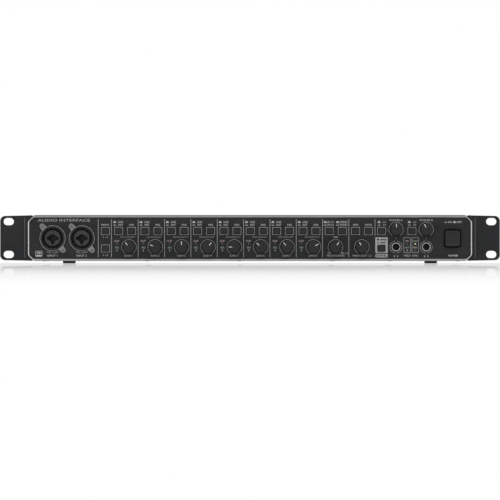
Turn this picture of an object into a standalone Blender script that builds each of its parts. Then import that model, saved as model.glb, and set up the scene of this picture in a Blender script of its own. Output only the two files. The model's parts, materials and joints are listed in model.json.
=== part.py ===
"""A 19 inch, one-unit rack-mount audio interface, built piece by piece.

Every size is in millimetres and MM turns it into Blender's metres. X runs to the right as seen from
the front, Z runs up from the feet, and Y runs from the front to the rear. A depth, or d, is counted
backwards from the front face of the face panel, whose Y is FACE_Y.
"""

import math

import bmesh
import bpy
from mathutils import Matrix, Vector

MM = 0.001

# Overall sizes
RACK_WIDTH = 482.6
OVERALL_DEPTH = 158.0
KNOB_PROUD = 12.5
FOOT_HEIGHT = 2.25
UNIT_HEIGHT = 44.3
GAP = 0.3
FACE_Y = -OVERALL_DEPTH / 2 + KNOB_PROUD
MID_Z = FOOT_HEIGHT + UNIT_HEIGHT / 2

# Front frame: rack panel, bezel ring and face panel
BEZEL_WIDTH = 428.3
BEZEL_CUT = 6.1
BEZEL_CUT_RADIUS = 4.0
BEZEL_SIDE_WALL = 1.25
BEZEL_TOP_WALL = 2.35
BEZEL_BOTTOM_WALL = 2.05
BEZEL_PROUD = 0.8
FACE_THICKNESS = 1.5
RACK_FRONT_D = 5.5
RACK_BACK_D = 8.3
EAR_FRONT_D = 6.3
EAR_BACK_D = 8.6
EAR_START_X = 216.0
EAR_STEP_X = 217.9
EAR_HALF_HEIGHT = 21.4
RACK_HALF_HEIGHT = 22.0
EAR_CORNER = 4.9
WINDOW_HALF = (208.0, 17.5)
SLOT_X = 233.0
SLOT_Z = 31.75 / 2
SLOT_LENGTH = 10.1
SLOT_HEIGHT = 7.1

# Chassis
SHEET = 1.2
TRAY_HALF_WIDTH = 213.0
CHASSIS_BOTTOM_Z = FOOT_HEIGHT + 0.6
CHASSIS_TOP_Z = FOOT_HEIGHT + UNIT_HEIGHT - 0.6
CHASSIS_FRONT_D = RACK_BACK_D + GAP
CHASSIS_REAR_D = 143.0
REAR_PROUD = OVERALL_DEPTH - KNOB_PROUD - CHASSIS_REAR_D
FOOT_RADIUS = 6.3
FOOT_FRONT = (175.1, 20.0)
FOOT_REAR = (179.8, 128.0)

# Control layout on the face, from left to right
CHANNELS = 8
CHANNEL_X = -133.6
CHANNEL_PITCH = 25.4
BUTTON_ROW_Z = MID_Z + 6.8
KNOB_ROW_Z = MID_Z - 8.6
CLIP_Z = MID_Z - 5.7
SIGNAL_Z = MID_Z - 12.0
LINE_BUTTON_DX = 6.9
PAD_BUTTON_DX = 19.4
GAIN_KNOB_DX = 16.9
LED_DX = 5.4
PHANTOM_X = -139.4
PHANTOM_LOW_Z = MID_Z - 10.1
SOCKET_XS = (-190.3, -162.2)
SOCKET_Z = MID_Z - 0.2
PHONES_KNOB_Z = MID_Z + 8.3
PHONES_XS = (140.8, 169.9)
DIGITAL_BUTTON = (126.7, MID_Z - 9.9)
POWER_X = 195.3
POWER_Z = MID_Z - 0.4
STATUS_LED_XS = (151.5, 159.3)

# Moving pieces
KNOB_RADIUS = 6.0
KNOB_TOP_RADIUS = 5.5
KNOB_CLEAR = 0.8
SHAFT_RADIUS = 3.0
KNOB_FACETS = 16
BUTTON_SIZE = (6.4, 5.4)
BUTTON_HOLE = (7.0, 6.0)
BUTTON_PROUD = 2.2
BUTTON_TRAVEL = 2.5
BUTTON_BACK_D = 6.4
POWER_SIZE = (14.4, 15.0)
POWER_HOLE = (16.6, 16.2)
POWER_HOLE_BOW = 1.0
POWER_PROUD = 3.6
POWER_BACK_D = 9.6
SWITCH_FRONT_D = BUTTON_BACK_D + BUTTON_TRAVEL + GAP
PCB_THICKNESS = 1.6
CONTROL_PCB_D = 16.0
BOARD_Z = 10.0

# Knobs: name, X, Z and the pointer's turn from upright, clockwise, in degrees
GAIN_TURNS = (-36, -67, 0, 40, -92, -46, -41, 59)
KNOBS = [
    (f"gain_knob_{i + 1}", CHANNEL_X + i * CHANNEL_PITCH + GAIN_KNOB_DX, KNOB_ROW_Z, turn)
    for i, turn in enumerate(GAIN_TURNS)
]
KNOBS += [
    ("mix_knob", 82.4, KNOB_ROW_Z, 34),
    ("main_out_knob", 107.9, KNOB_ROW_Z, -32),
    ("phones_a_knob", PHONES_XS[0], PHONES_KNOB_Z, 0),
    ("phones_b_knob", PHONES_XS[1], PHONES_KNOB_Z, -24),
]

# Buttons: name, X and Z
BUTTONS = [("phantom_button_1_4", PHANTOM_X, BUTTON_ROW_Z), ("phantom_button_5_8", PHANTOM_X, PHANTOM_LOW_Z)]
for i in range(CHANNELS):
    left = CHANNEL_X + i * CHANNEL_PITCH
    BUTTONS.append((f"line_button_{i + 1}", left + LINE_BUTTON_DX, BUTTON_ROW_Z))
    BUTTONS.append((f"pad_button_{i + 1}", left + PAD_BUTTON_DX, BUTTON_ROW_Z))
BUTTONS += [
    ("source_button", 76.4, BUTTON_ROW_Z),
    ("mono_button", 89.1, BUTTON_ROW_Z),
    ("dim_button", 101.8, BUTTON_ROW_Z),
    ("mute_button", 114.2, BUTTON_ROW_Z),
    ("phones_a_button", 126.9, BUTTON_ROW_Z),
    ("phones_b_button", 156.1, BUTTON_ROW_Z),
    ("digital_button", *DIGITAL_BUTTON),
]

# Rear sockets
REAR_INPUT_XS = [-196.0 + 27.0 * i for i in range(6)]
LINE_OUT_XS = [-34.0 + 15.0 * i for i in range(5)]
LINE_OUT_ZS = (MID_Z + 9.0, MID_Z - 9.0)
COAX_X = 47.0
OPTICAL_X = 63.0
DIGITAL_ZS = (MID_Z + 8.5, MID_Z - 8.5)
MIDI_XS = (85.0, 106.0)
USB_X = 127.0
INLET_X = 180.0
INLET_OPENING = (27.0, 20.0)
REAR_Z = MID_Z - 0.5


def clear_scene():
    for thing in list(bpy.data.objects):
        bpy.data.objects.remove(thing)


def material(name, color, roughness, metallic=0.0):
    made = bpy.data.materials.new(name)
    made.use_nodes = True
    shader = made.node_tree.nodes["Principled BSDF"]
    shader.inputs["Base Color"].default_value = (*color, 1.0)
    shader.inputs["Roughness"].default_value = roughness
    shader.inputs["Metallic"].default_value = metallic
    return made


def point(x, d, z):
    """A point in Blender's metres from X, depth and Z in millimetres."""
    return Vector((x, FACE_Y + d, z)) * MM


def circle(radius, facets, cx=0.0, cz=0.0, turn=0.0):
    steps = (turn + 2 * math.pi * i / facets for i in range(facets))
    return [(cx + radius * math.cos(a), cz + radius * math.sin(a)) for a in steps]


def rectangle(width, height, cx=0.0, cz=0.0):
    w, h = width / 2, height / 2
    return [(cx - w, cz - h), (cx + w, cz - h), (cx + w, cz + h), (cx - w, cz + h)]


def arc(cx, cz, radius, start, end, steps):
    """Points from one angle to another, both ends included. Angles are in degrees."""
    turns = (math.radians(start + (end - start) * i / steps) for i in range(steps + 1))
    return [(cx + radius * math.cos(a), cz + radius * math.sin(a)) for a in turns]


def rounded(width, height, radius, cx=0.0, cz=0.0, steps=5):
    w, h = width / 2 - radius, height / 2 - radius
    corners = ((w, h, 0), (-w, h, 90), (-w, -h, 180), (w, -h, 270))
    return [p for x, z, a in corners for p in arc(cx + x, cz + z, radius, a, a + 90, steps)]


def cut_corners(width, height, cut, radius, cx=0.0, cz=0.0, steps=3):
    """A rectangle with its corners cut off at 45 degrees, and the ends of the cuts rounded."""
    w, h = width / 2, height / 2
    far = cut + radius * math.tan(math.pi / 8)
    loop = []
    for sx, sz, turn in ((1, 1, 0), (-1, 1, 90), (-1, -1, 180), (1, -1, 270)):
        ends = [(w - radius, h - far), (w - far, h - radius)][::sx * sz]
        for i, (x, z) in enumerate(ends):
            start = turn + 45 * i
            loop += arc(cx + sx * x, cz + sz * z, radius, start, start + 45, steps)
    return loop


def new_object(name, mesh):
    made = bpy.data.objects.new(name, mesh)
    bpy.context.scene.collection.objects.link(made)
    return made


def object_from(name, bm):
    bmesh.ops.recalc_face_normals(bm, faces=bm.faces)
    mesh = bpy.data.meshes.new(name)
    bm.to_mesh(mesh)
    bm.free()
    return new_object(name, mesh)


def plate(name, loops, front, back):
    """Outlines in X and Z, the first one the rim and the others holes, filled and given a depth."""
    curve = bpy.data.curves.new(name, "CURVE")
    curve.dimensions = "2D"
    curve.fill_mode = "BOTH"
    curve.extrude = (back - front) / 2 * MM
    for loop in loops:
        spline = curve.splines.new("POLY")
        spline.points.add(len(loop) - 1)
        spline.use_cyclic_u = True
        for at, (x, z) in zip(spline.points, loop):
            at.co = (x * MM, z * MM, 0, 1)
    guide = new_object(name + "_outline", curve)
    mesh = bpy.data.meshes.new_from_object(guide.evaluated_get(bpy.context.evaluated_depsgraph_get()))
    bpy.data.objects.remove(guide)
    bm = bmesh.new()
    bm.from_mesh(mesh)
    bmesh.ops.remove_doubles(bm, verts=bm.verts, dist=1e-7)
    upright = Matrix.Translation(point(0, (front + back) / 2, 0)) @ Matrix.Rotation(math.pi / 2, 4, "X")
    bm.transform(upright)
    return object_from(name, bm)


def box(name, xs, ds, zs):
    bm = bmesh.new()
    bmesh.ops.create_cube(bm, size=1.0)
    low, high = point(xs[0], ds[0], zs[0]), point(xs[1], ds[1], zs[1])
    for corner in bm.verts:
        corner.co = Vector(low[k] if corner.co[k] < 0 else high[k] for k in range(3))
    return object_from(name, bm)


def lathe(name, profile, facets, cx=0.0, cz=0.0):
    """Turns a profile of (radius, depth) round a line along Y.

    A profile whose ends both have a radius of 0 makes a solid of revolution; any other is a closed ring.
    """
    bm = bmesh.new()
    rings = []
    for radius, along in profile:
        spots = [(0.0, 0.0)] if radius == 0 else circle(radius, facets)
        rings.append([bm.verts.new((a, along, b)) for a, b in spots])
    closed_ring = profile[0][0] > 0
    pairs = list(zip(rings, rings[1:] + ([rings[0]] if closed_ring else [])))
    for one, two in pairs:
        for i in range(facets):
            j = (i + 1) % facets
            corners = [one[i % len(one)], one[j % len(one)], two[j % len(two)], two[i % len(two)]]
            unique = list(dict.fromkeys(corners))
            if len(unique) > 2:
                bm.faces.new(unique)
    bm.transform(Matrix.Scale(MM, 4))
    bm.transform(Matrix.Translation(point(cx, 0, cz)))
    return object_from(name, bm)


def upright_lathe(name, profile, facets, x, d):
    """Turns a profile of (radius, Z) round a vertical line."""
    turned = lathe(name, profile, facets)
    turned.data.transform(Matrix.Rotation(math.pi / 2, 4, "X") @ Matrix.Translation(-point(0, 0, 0)))
    turned.data.transform(Matrix.Translation(point(x, d, 0)))
    return turned


def post(name, x, d, radius, low, high, facets):
    return upright_lathe(name, [(0, low), (radius, low), (radius, high), (0, high)], facets, x, d)


def rod(name, radius, front, back, facets, x, z):
    return lathe(name, [(0, front), (radius, front), (radius, back), (0, back)], facets, x, z)


def join(name, things):
    """Several separate shapes as one object, to be one side of a Boolean."""
    bm = bmesh.new()
    for thing in things:
        bm.from_mesh(thing.data)
        bpy.data.objects.remove(thing)
    return object_from(name, bm)


def combine(base, others, operation):
    """A Boolean, applied. The other shapes must not touch each other."""
    tool = join(base.name + "_tool", others) if len(others) > 1 else others[0]
    modifier = base.modifiers.new(operation.lower(), "BOOLEAN")
    modifier.operation = operation
    modifier.solver = "EXACT"
    modifier.object = tool
    graph = bpy.context.evaluated_depsgraph_get()
    made = bpy.data.meshes.new_from_object(base.evaluated_get(graph))
    base.modifiers.clear()
    base.data = made
    bpy.data.objects.remove(tool)
    return base


def finish(thing, look, origin=None):
    """Gives a piece its material, its origin and smooth shading that keeps its edges."""
    thing.data.materials.clear()
    thing.data.materials.append(look)
    thing.data.shade_smooth()
    thing.data.set_sharp_from_angle(angle=math.radians(30))
    if origin is not None:
        thing.data.transform(Matrix.Translation(-origin))
        thing.location = origin
    return thing


# Front frame


def ear_outline(side):
    """One ear's rim: it narrows a little towards its rounded end."""
    edge, low = RACK_WIDTH / 2, EAR_HALF_HEIGHT
    loop = [(EAR_START_X, MID_Z - RACK_HALF_HEIGHT + 0.1)]
    loop += arc(edge - EAR_CORNER, MID_Z - low + EAR_CORNER, EAR_CORNER, -90, 0, 5)
    loop += arc(edge - EAR_CORNER, MID_Z + low - EAR_CORNER, EAR_CORNER, 0, 90, 5)
    loop += [(EAR_START_X, MID_Z + RACK_HALF_HEIGHT - 0.1)]
    return [(side * x, z) for x, z in loop]


def slot(cx, cz):
    reach = (SLOT_LENGTH - SLOT_HEIGHT) / 2
    right = arc(cx + reach, cz, SLOT_HEIGHT / 2, -90, 90, 6)
    return right + arc(cx - reach, cz, SLOT_HEIGHT / 2, 90, 270, 6)


def make_rack_panel(look):
    """A plate with a window behind the face, and an ear at each side that stands further back."""
    rim = rectangle(2 * EAR_STEP_X, 2 * RACK_HALF_HEIGHT, 0, MID_Z)
    window = rectangle(2 * WINDOW_HALF[0], 2 * WINDOW_HALF[1], 0, MID_Z)
    panel = plate("rack_panel", [rim, window], RACK_FRONT_D, RACK_BACK_D)
    for side in (-1, 1):
        slots = [slot(side * SLOT_X, MID_Z + up * SLOT_Z) for up in (-1, 1)]
        ear = plate("ear", [ear_outline(side), *slots], EAR_FRONT_D, EAR_BACK_D)
        combine(panel, [ear], "UNION")
    return finish(panel, look)


def bezel_inside(spare, cut, radius):
    """The frame's inner outline, or one inside it by some spare."""
    width = BEZEL_WIDTH - 2 * (BEZEL_SIDE_WALL + spare)
    height = UNIT_HEIGHT - BEZEL_TOP_WALL - BEZEL_BOTTOM_WALL - 2 * spare
    return cut_corners(width, height, cut, radius, 0, MID_Z + (BEZEL_BOTTOM_WALL - BEZEL_TOP_WALL) / 2)


def make_bezel(look):
    """A ring round the face panel, with a lip behind the panel's edge."""
    outer = cut_corners(BEZEL_WIDTH, UNIT_HEIGHT, BEZEL_CUT, BEZEL_CUT_RADIUS, 0, MID_Z)
    ring = plate("front_bezel", [outer, bezel_inside(0, 4.5, 3)], -BEZEL_PROUD, RACK_FRONT_D - GAP)
    rim = bezel_inside(-0.6, 5, 3.4)
    lip = plate("lip", [rim, bezel_inside(3.5, 3.4, 2)], FACE_THICKNESS + GAP, FACE_THICKNESS + GAP + 1.2)
    return finish(combine(ring, [lip], "UNION"), look)


def power_hole():
    """A square hole whose top and bottom edges bow outwards."""
    w, h = POWER_HOLE[0] / 2, POWER_HOLE[1] / 2
    top = [(w * (1 - i / 4), h + POWER_HOLE_BOW * (1 - (1 - i / 4) ** 2)) for i in range(9)]
    return [(POWER_X + x, POWER_Z + z) for x, z in top + [(-x, -z) for x, z in top]]


def make_face_panel(look):
    loops = [bezel_inside(GAP, 4.4, 2.8), power_hole()]
    loops += [rectangle(*BUTTON_HOLE, x, z) for _, x, z in BUTTONS]
    loops += [circle(SHAFT_RADIUS + 0.7, 12, x, z) for _, x, z, _ in KNOBS]
    loops += [circle(12.1, 24, x, SOCKET_Z) for x in SOCKET_XS]
    loops += [circle(4.8, 16, x, KNOB_ROW_Z) for x in PHONES_XS]
    channel_xs = [CHANNEL_X + i * CHANNEL_PITCH + LED_DX for i in range(CHANNELS)]
    loops += [circle(1.3, 8, x, z) for x in [*channel_xs, *STATUS_LED_XS] for z in (CLIP_Z, SIGNAL_Z)]
    return finish(plate("face_panel", loops, 0, FACE_THICKNESS), look)


# Chassis


def make_tray(look):
    w, bottom, front, rear = TRAY_HALF_WIDTH, CHASSIS_BOTTOM_Z, CHASSIS_FRONT_D, CHASSIS_REAR_D
    tray = box("bottom_tray", (0.1 - w, w - 0.1), (front + 0.1, rear - 0.1), (bottom, bottom + SHEET))
    holes = [circle(12.1, 16, x, REAR_Z) for x in REAR_INPUT_XS]
    holes += [circle(5.7, 12, x, z) for x in LINE_OUT_XS for z in LINE_OUT_ZS]
    holes += [circle(4.6, 12, COAX_X, z) for z in DIGITAL_ZS]
    holes += [rectangle(10.4, 10.4, OPTICAL_X, z) for z in DIGITAL_ZS]
    holes += [circle(7.9, 16, x, REAR_Z) for x in MIDI_XS]
    holes += [rectangle(12.8, 11.6, USB_X, REAR_Z)]
    holes += [rectangle(INLET_OPENING[0] + 0.6, INLET_OPENING[1] + 0.6, INLET_X, REAR_Z)]
    low, top = bottom + 0.1, CHASSIS_TOP_Z - SHEET - GAP
    rim = rectangle(2 * w - 0.4, top - low, 0, (top + low) / 2)
    combine(tray, [plate("rear", [rim, *holes], rear - SHEET, rear)], "UNION")
    sides = [box("side", sorted((s * w, s * (w - SHEET))), (front, rear - 0.3), (bottom + 0.15, bottom + 11))
             for s in (-1, 1)]
    combine(tray, sides, "UNION")
    lip = box("lip", (0.3 - w, w - 0.3), (front + 0.2, front + 0.2 + SHEET), (bottom + 0.3, bottom + 3.6))
    combine(tray, [lip], "UNION")
    posts = [post("post", x, d, 2.6, bottom + 0.5, BOARD_Z - GAP, 6)
             for x in (-200, -100, -10, 80, 136, 202) for d in (36, 110)]
    return finish(combine(tray, posts, "UNION"), look)


def make_cover(look):
    outer, top = TRAY_HALF_WIDTH + GAP + SHEET, CHASSIS_TOP_Z
    inner, low = outer - SHEET, CHASSIS_BOTTOM_Z
    section = [(-outer, low), (-inner, low), (-inner, top - SHEET), (inner, top - SHEET),
               (inner, low), (outer, low), (outer, top), (-outer, top)]
    cover = plate("top_cover", [section], CHASSIS_FRONT_D, CHASSIS_REAR_D)
    flange = box("flange", (-inner - 0.5, inner + 0.5), (CHASSIS_FRONT_D, CHASSIS_FRONT_D + SHEET),
                 (top - 3.6, top - 0.5))
    combine(cover, [flange], "UNION")
    over, through = (top - 2 * SHEET, top + SHEET), 2 * SHEET
    top_xs = [side * (96 + 7.0 * i) for side in (-1, 1) for i in range(12)]
    slots = [box("vent", (x - 1.2, x + 1.2), (92, 122), over) for x in top_xs]
    slots += [box("vent", sorted((s * (inner - through), s * (outer + through))), (40 + 7 * i, 42.4 + 7 * i),
                  (17, 37)) for s in (-1, 1) for i in range(11)]
    return finish(combine(cover, slots, "DIFFERENCE"), look)


def make_foot(name, x, d, look):
    top = CHASSIS_BOTTOM_Z - GAP
    profile = [(0, 0), (FOOT_RADIUS - 0.7, 0), (FOOT_RADIUS - 0.1, 0.6), (FOOT_RADIUS, top), (0, top)]
    return finish(upright_lathe(name, profile, 16, x, d), look)


# Electronics


def make_control_board(look):
    rim = rectangle(329, 37, 18.5, MID_Z)
    notches = [rectangle(13.4, 14.4, x, KNOB_ROW_Z) for x in PHONES_XS]
    back = CONTROL_PCB_D + PCB_THICKNESS
    board = plate("control_board", [rim, *notches], CONTROL_PCB_D, back)
    collar, well = [(3.4, 6.2), (4.5, 6.2), (4.5, 10), (3.4, 10)], [(0, 9), (3.4, 9), (3.4, 12.5), (0, 12.5)]
    spots = [(x, z) for _, x, z, _ in KNOBS]
    pots = [box("pot", (x - 5.2, x + 5.2), (9.5, CONTROL_PCB_D + 0.5), (z - 5.8, z + 5.8)) for x, z in spots]
    collars = [lathe("collar", collar, 12, x, z) for x, z in spots]
    wells = [lathe("well", well, 12, x, z) for x, z in spots]
    combine(board, pots, "UNION")
    combine(board, collars, "UNION")
    combine(board, wells, "DIFFERENCE")
    switches = [box("switch", (x - 3.4, x + 3.4), (SWITCH_FRONT_D, CONTROL_PCB_D + 0.5), (z - 3.4, z + 3.4))
                for _, x, z in BUTTONS]
    lamps = [box("lamp", (x - 1, x + 1), (2.2, CONTROL_PCB_D + 0.5), (z - 1, z + 1))
             for x in STATUS_LED_XS for z in (CLIP_Z, SIGNAL_Z)]
    return finish(combine(board, switches + lamps, "UNION"), look)


def make_light_guide(look):
    """A comb of clear plastic: a bar above the knobs' collars, with two light pipes on each tooth."""
    xs = [CHANNEL_X + i * CHANNEL_PITCH + LED_DX for i in range(CHANNELS)]
    comb = box("channel_light_guide", (xs[0] - 1.8, xs[-1] + 1.8), (3.1, 5.1), (MID_Z - 3.4, MID_Z - 0.6))
    teeth = [box("tooth", (x - 1.6, x + 1.6), (3.2, 5.0), (SIGNAL_Z - 1.8, MID_Z - 3)) for x in xs]
    combine(comb, teeth, "UNION")
    pipes = [rod("pipe", 1.0, -0.2, 3.6, 8, x, z) for x in xs for z in (CLIP_Z, SIGNAL_Z)]
    return finish(combine(comb, pipes, "UNION"), look)


def make_main_board(look):
    z = BOARD_Z, BOARD_Z + PCB_THICKNESS
    board = box("main_board", (-206, 118), (28, 116), z)
    under = z[1] - 0.4
    chips = [box("chip", (x - 5, x + 5), (d - 5, d + 5), (under, z[1] + 1.6))
             for x in range(-180, -20, 26) for d in (54, 76)]
    chips += [box("processor", (20, 42), (58, 80), (under, z[1] + 2.2))]
    chips += [box("memory", (52, 62), (60, 78), (under, z[1] + 1.4))]
    cans = [post("can", x, 100, 3.2, under, z[1] + 8.5, 8) for x in range(-190, 100, 24)]
    return finish(combine(board, chips + cans, "UNION"), look)


def make_power_supply(look):
    """The supply's board, which carries the mains switch behind the power button."""
    z = BOARD_Z, BOARD_Z + PCB_THICKNESS
    board = box("power_supply", (130, 208), (28, 116), z)
    under = z[1] - 0.4
    switch_front = POWER_BACK_D + POWER_PROUD + GAP
    parts = [
        box("mains_switch", (POWER_X - 8, POWER_X + 8), (switch_front, 34), (under, POWER_Z + 8)),
        box("transformer", (150, 180), (58, 84), (under, z[1] + 24)),
        box("heat_sink", (190, 194), (50, 90), (under, z[1] + 22)),
        box("filter", (142, 162), (94, 108), (under, z[1] + 14)),
    ]
    for x, d, radius, tall in ((140, 40, 7, 22), (160, 40, 7, 22), (138, 74, 4, 14), (202, 70, 4, 14)):
        parts.append(post("can", x, d, radius, under, z[1] + tall, 12))
    return finish(combine(board, parts, "UNION"), look)


# Sockets


def socket_flange(cx, cz, radius=12.4, reach=(10.0, 11.6), lug=2.95):
    """The outline of a round flange with a screw lug at its upper left and its lower right."""
    far = math.hypot(*reach)
    aim = math.degrees(math.atan2(reach[1], -reach[0]))
    half = math.degrees(math.asin(lug / radius))
    loop = []
    for turn in (0, 180):
        at = math.radians(aim + turn)
        x, z = cx + far * math.cos(at), cz + far * math.sin(at)
        loop += arc(x, z, lug, aim + turn - 90, aim + turn + 90, 6)
        loop += arc(cx, cz, radius, aim + turn + half, aim + turn + 180 - half, 12)
    return loop


def input_barrel(front, groove, well, back, facets, cx, cz, mouth=9.85):
    """A combination socket's body: a ring groove for the XLR shell round a core with the jack's well."""
    profile = [(0, well), (3.4, well), (3.4, front + 0.8), (7.6, front + 0.8), (7.6, groove),
               (mouth, groove), (mouth, front), (11.6, front), (11.6, back), (0, back)]
    return lathe("barrel", profile, facets, cx, cz)


def make_input_socket(name, cx, look):
    body = input_barrel(-1.2, 13, 22, 25, 24, cx, SOCKET_Z)
    body.name = name
    hole = circle(11.0, 24, cx, SOCKET_Z)
    flange = plate("flange", [socket_flange(cx, SOCKET_Z), hole], -1.3, -GAP)
    return finish(combine(body, [flange], "UNION"), look)


def make_phones_socket(name, cx, look):
    """A quarter inch jack: a round nose through the face and a square body behind it."""
    z = KNOB_ROW_Z
    nose = lathe(name, [(3.25, 5.5), (3.25, -1.6), (4.4, -1.6), (4.4, 5.5)], 20, cx, z)
    body = plate("body", [rectangle(12, 13, cx, z), circle(3.25, 20, cx, z)], 5, 22)
    back = box("back", (cx - 6, cx + 6), (21.5, 26), (z - 6.5, z + 6.5))
    combine(body, [back], "UNION")
    return finish(combine(nose, [body], "UNION"), look)


def make_rear_inputs(look):
    """Six combination sockets, each with its flange behind the rear wall, on one upright board."""
    inside = CHASSIS_REAR_D - SHEET - GAP
    bank = box("rear_input_sockets", (REAR_INPUT_XS[0] - 13, REAR_INPUT_XS[-1] + 13), (118, 119.6), (8, 41))
    shapes = []
    for x in REAR_INPUT_XS:
        flange = plate("flange", [rounded(25.4, 30, 3, x, REAR_Z, 2)], inside - 22, inside)
        combine(flange, [rod("nose", 11.6, inside - 0.5, CHASSIS_REAR_D + 0.8, 16, x, REAR_Z)], "UNION")
        well = lathe("well", [(0, inside - 18), (3.4, inside - 18), (3.4, CHASSIS_REAR_D),
                              (7.6, CHASSIS_REAR_D), (7.6, inside - 11), (9.85, inside - 11),
                              (9.85, CHASSIS_REAR_D + 2), (0, CHASSIS_REAR_D + 2)], 16, x, REAR_Z)
        shapes.append(combine(flange, [well], "DIFFERENCE"))
    return finish(combine(bank, shapes, "UNION"), look)


def make_line_outputs(look):
    """Ten quarter inch jacks in two rows, on one upright board."""
    inside = CHASSIS_REAR_D - SHEET - GAP
    end = CHASSIS_REAR_D + REAR_PROUD
    xs = (LINE_OUT_XS[0] - 7, LINE_OUT_XS[-1] + 7)
    bank = box("line_output_sockets", xs, (118, 119.6), (6.5, 42.5))
    bodies, collars, wells = [], [], []
    for x in LINE_OUT_XS:
        for z in LINE_OUT_ZS:
            bodies.append(box("body", (x - 6.5, x + 6.5), (119, inside), (z - 7, z + 7)))
            collars.append(rod("collar", 5.2, inside - 1, end, 10, x, z))
            wells.append(rod("well", 3.3, inside - 18, end + 1, 10, x, z))
    combine(bank, bodies, "UNION")
    combine(bank, collars, "UNION")
    return finish(combine(bank, wells, "DIFFERENCE"), look)


def make_digital_sockets(look):
    """Coaxial, optical and MIDI sockets on one upright board."""
    inside = CHASSIS_REAR_D - SHEET - GAP
    outside = CHASSIS_REAR_D + 0.6
    board = box("digital_sockets", (COAX_X - 8, MIDI_XS[-1] + 10), (122, 123.6), (8, 41))
    parts = [box("body", (COAX_X - 6, COAX_X + 6), (123, inside), (z - 6, z + 6)) for z in DIGITAL_ZS]
    parts += [box("body", (OPTICAL_X - 4.9, OPTICAL_X + 4.9), (123, outside), (z - 4.9, z + 4.9))
              for z in DIGITAL_ZS]
    parts += [box("body", (x - 9, x + 9), (123, inside), (REAR_Z - 9.5, REAR_Z + 9.5)) for x in MIDI_XS]
    combine(board, parts, "UNION")
    noses = [rod("nose", 4.2, inside - 1, CHASSIS_REAR_D + REAR_PROUD, 12, COAX_X, z) for z in DIGITAL_ZS]
    noses += [rod("nose", 7.4, inside - 1, outside, 16, x, REAR_Z) for x in MIDI_XS]
    return finish(combine(board, noses, "UNION"), look)


def make_usb_socket(look):
    """A square USB socket on its own upright board."""
    outside = CHASSIS_REAR_D + 0.6
    board = box("usb_socket", (USB_X - 9, USB_X + 9), (125, 126.6), (8, 41))
    body = box("body", (USB_X - 6, USB_X + 6), (126, outside), (REAR_Z - 5.5, REAR_Z + 5.5))
    combine(board, [body], "UNION")
    well = box("well", (USB_X - 4.4, USB_X + 4.4), (outside - 9, outside + 1), (REAR_Z - 4, REAR_Z + 4))
    return finish(combine(board, [well], "DIFFERENCE"), look)


def make_mains_inlet(look):
    """An appliance inlet with a flange outside the wall and three flat pins in its well."""
    w, h = INLET_OPENING
    end = CHASSIS_REAR_D + 2.2
    body = plate("mains_inlet", [rectangle(w, h, INLET_X, REAR_Z)], CHASSIS_REAR_D - 17, end)
    flange = plate("flange", [rounded(w + 5, h + 5, 2, INLET_X, REAR_Z, 2)], CHASSIS_REAR_D + GAP, end - 0.2)
    combine(body, [flange], "UNION")
    shape = [(12, -8), (12, 4.5), (8.5, 8), (-8.5, 8), (-12, 4.5), (-12, -8)]
    well = plate("well", [[(INLET_X + x, REAR_Z + z) for x, z in shape]], CHASSIS_REAR_D - 14, end + 1)
    combine(body, [well], "DIFFERENCE")
    pins = [box("pin", (INLET_X + x - 1, INLET_X + x + 1), (CHASSIS_REAR_D - 15, end - 3),
                (REAR_Z + z - 2, REAR_Z + z + 2)) for x, z in ((-7, -2.5), (7, -2.5), (0, 3.5))]
    return finish(combine(body, pins, "UNION"), look)


# Knobs and buttons


def knob_mesh():
    """A knob and its shaft about the origin, with the shaft along Y and a raised pointer at the top."""
    top, rim = -KNOB_PROUD, -KNOB_PROUD + 0.8
    profile = [(0, top), (KNOB_TOP_RADIUS - 0.6, top), (KNOB_TOP_RADIUS, rim), (KNOB_RADIUS, -KNOB_CLEAR),
               (SHAFT_RADIUS, -KNOB_CLEAR), (SHAFT_RADIUS, 11.5), (0, 11.5)]
    knob = lathe("knob", profile, KNOB_FACETS)
    pointer = box("pointer", (-0.4, 0.4), (top + 0.3, top + 2.0), (2.2, KNOB_TOP_RADIUS + 0.3))
    combine(knob, [pointer], "UNION")
    knob.data.transform(Matrix.Translation(-point(0, 0, 0)))
    return finish_mesh(knob)


def button_mesh(size, proud, back, flange, bevel):
    """A button's cap, its catch behind the face and its stem, about the middle of the cap's hole."""
    w, h = size[0] / 2, size[1] / 2
    shape = rectangle(2 * w, 2 * h)
    cap = plate("cap", [shape], -proud, FACE_THICKNESS + GAP + 0.6)
    bm = bmesh.new()
    bm.from_mesh(cap.data)
    front = [e for e in bm.edges if all(v.co.y < point(0, -proud + 0.1, 0).y for v in e.verts)]
    bmesh.ops.bevel(bm, geom=front, offset=bevel * MM, segments=1, affect="EDGES")
    bm.to_mesh(cap.data)
    bm.free()
    catch = plate("catch", [rectangle(2 * w + flange, 2 * h + flange)], FACE_THICKNESS + GAP,
                  FACE_THICKNESS + GAP + 1.0)
    combine(cap, [catch], "UNION")
    stem = plate("stem", [rectangle(w, h)], FACE_THICKNESS + GAP + 0.5, back)
    combine(cap, [stem], "UNION")
    cap.data.transform(Matrix.Translation(-point(0, 0, 0)))
    return finish_mesh(cap)


def finish_mesh(thing):
    mesh = thing.data
    bpy.data.objects.remove(thing)
    return mesh


def place(name, mesh, x, z, look, turn=0.0):
    """A moving piece, with its origin on its own axis at the face panel's front."""
    made = new_object(name, mesh)
    finish(made, look)
    made.location = point(x, 0, z)
    made.rotation_euler = (0, math.radians(turn), 0)
    return made


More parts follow.
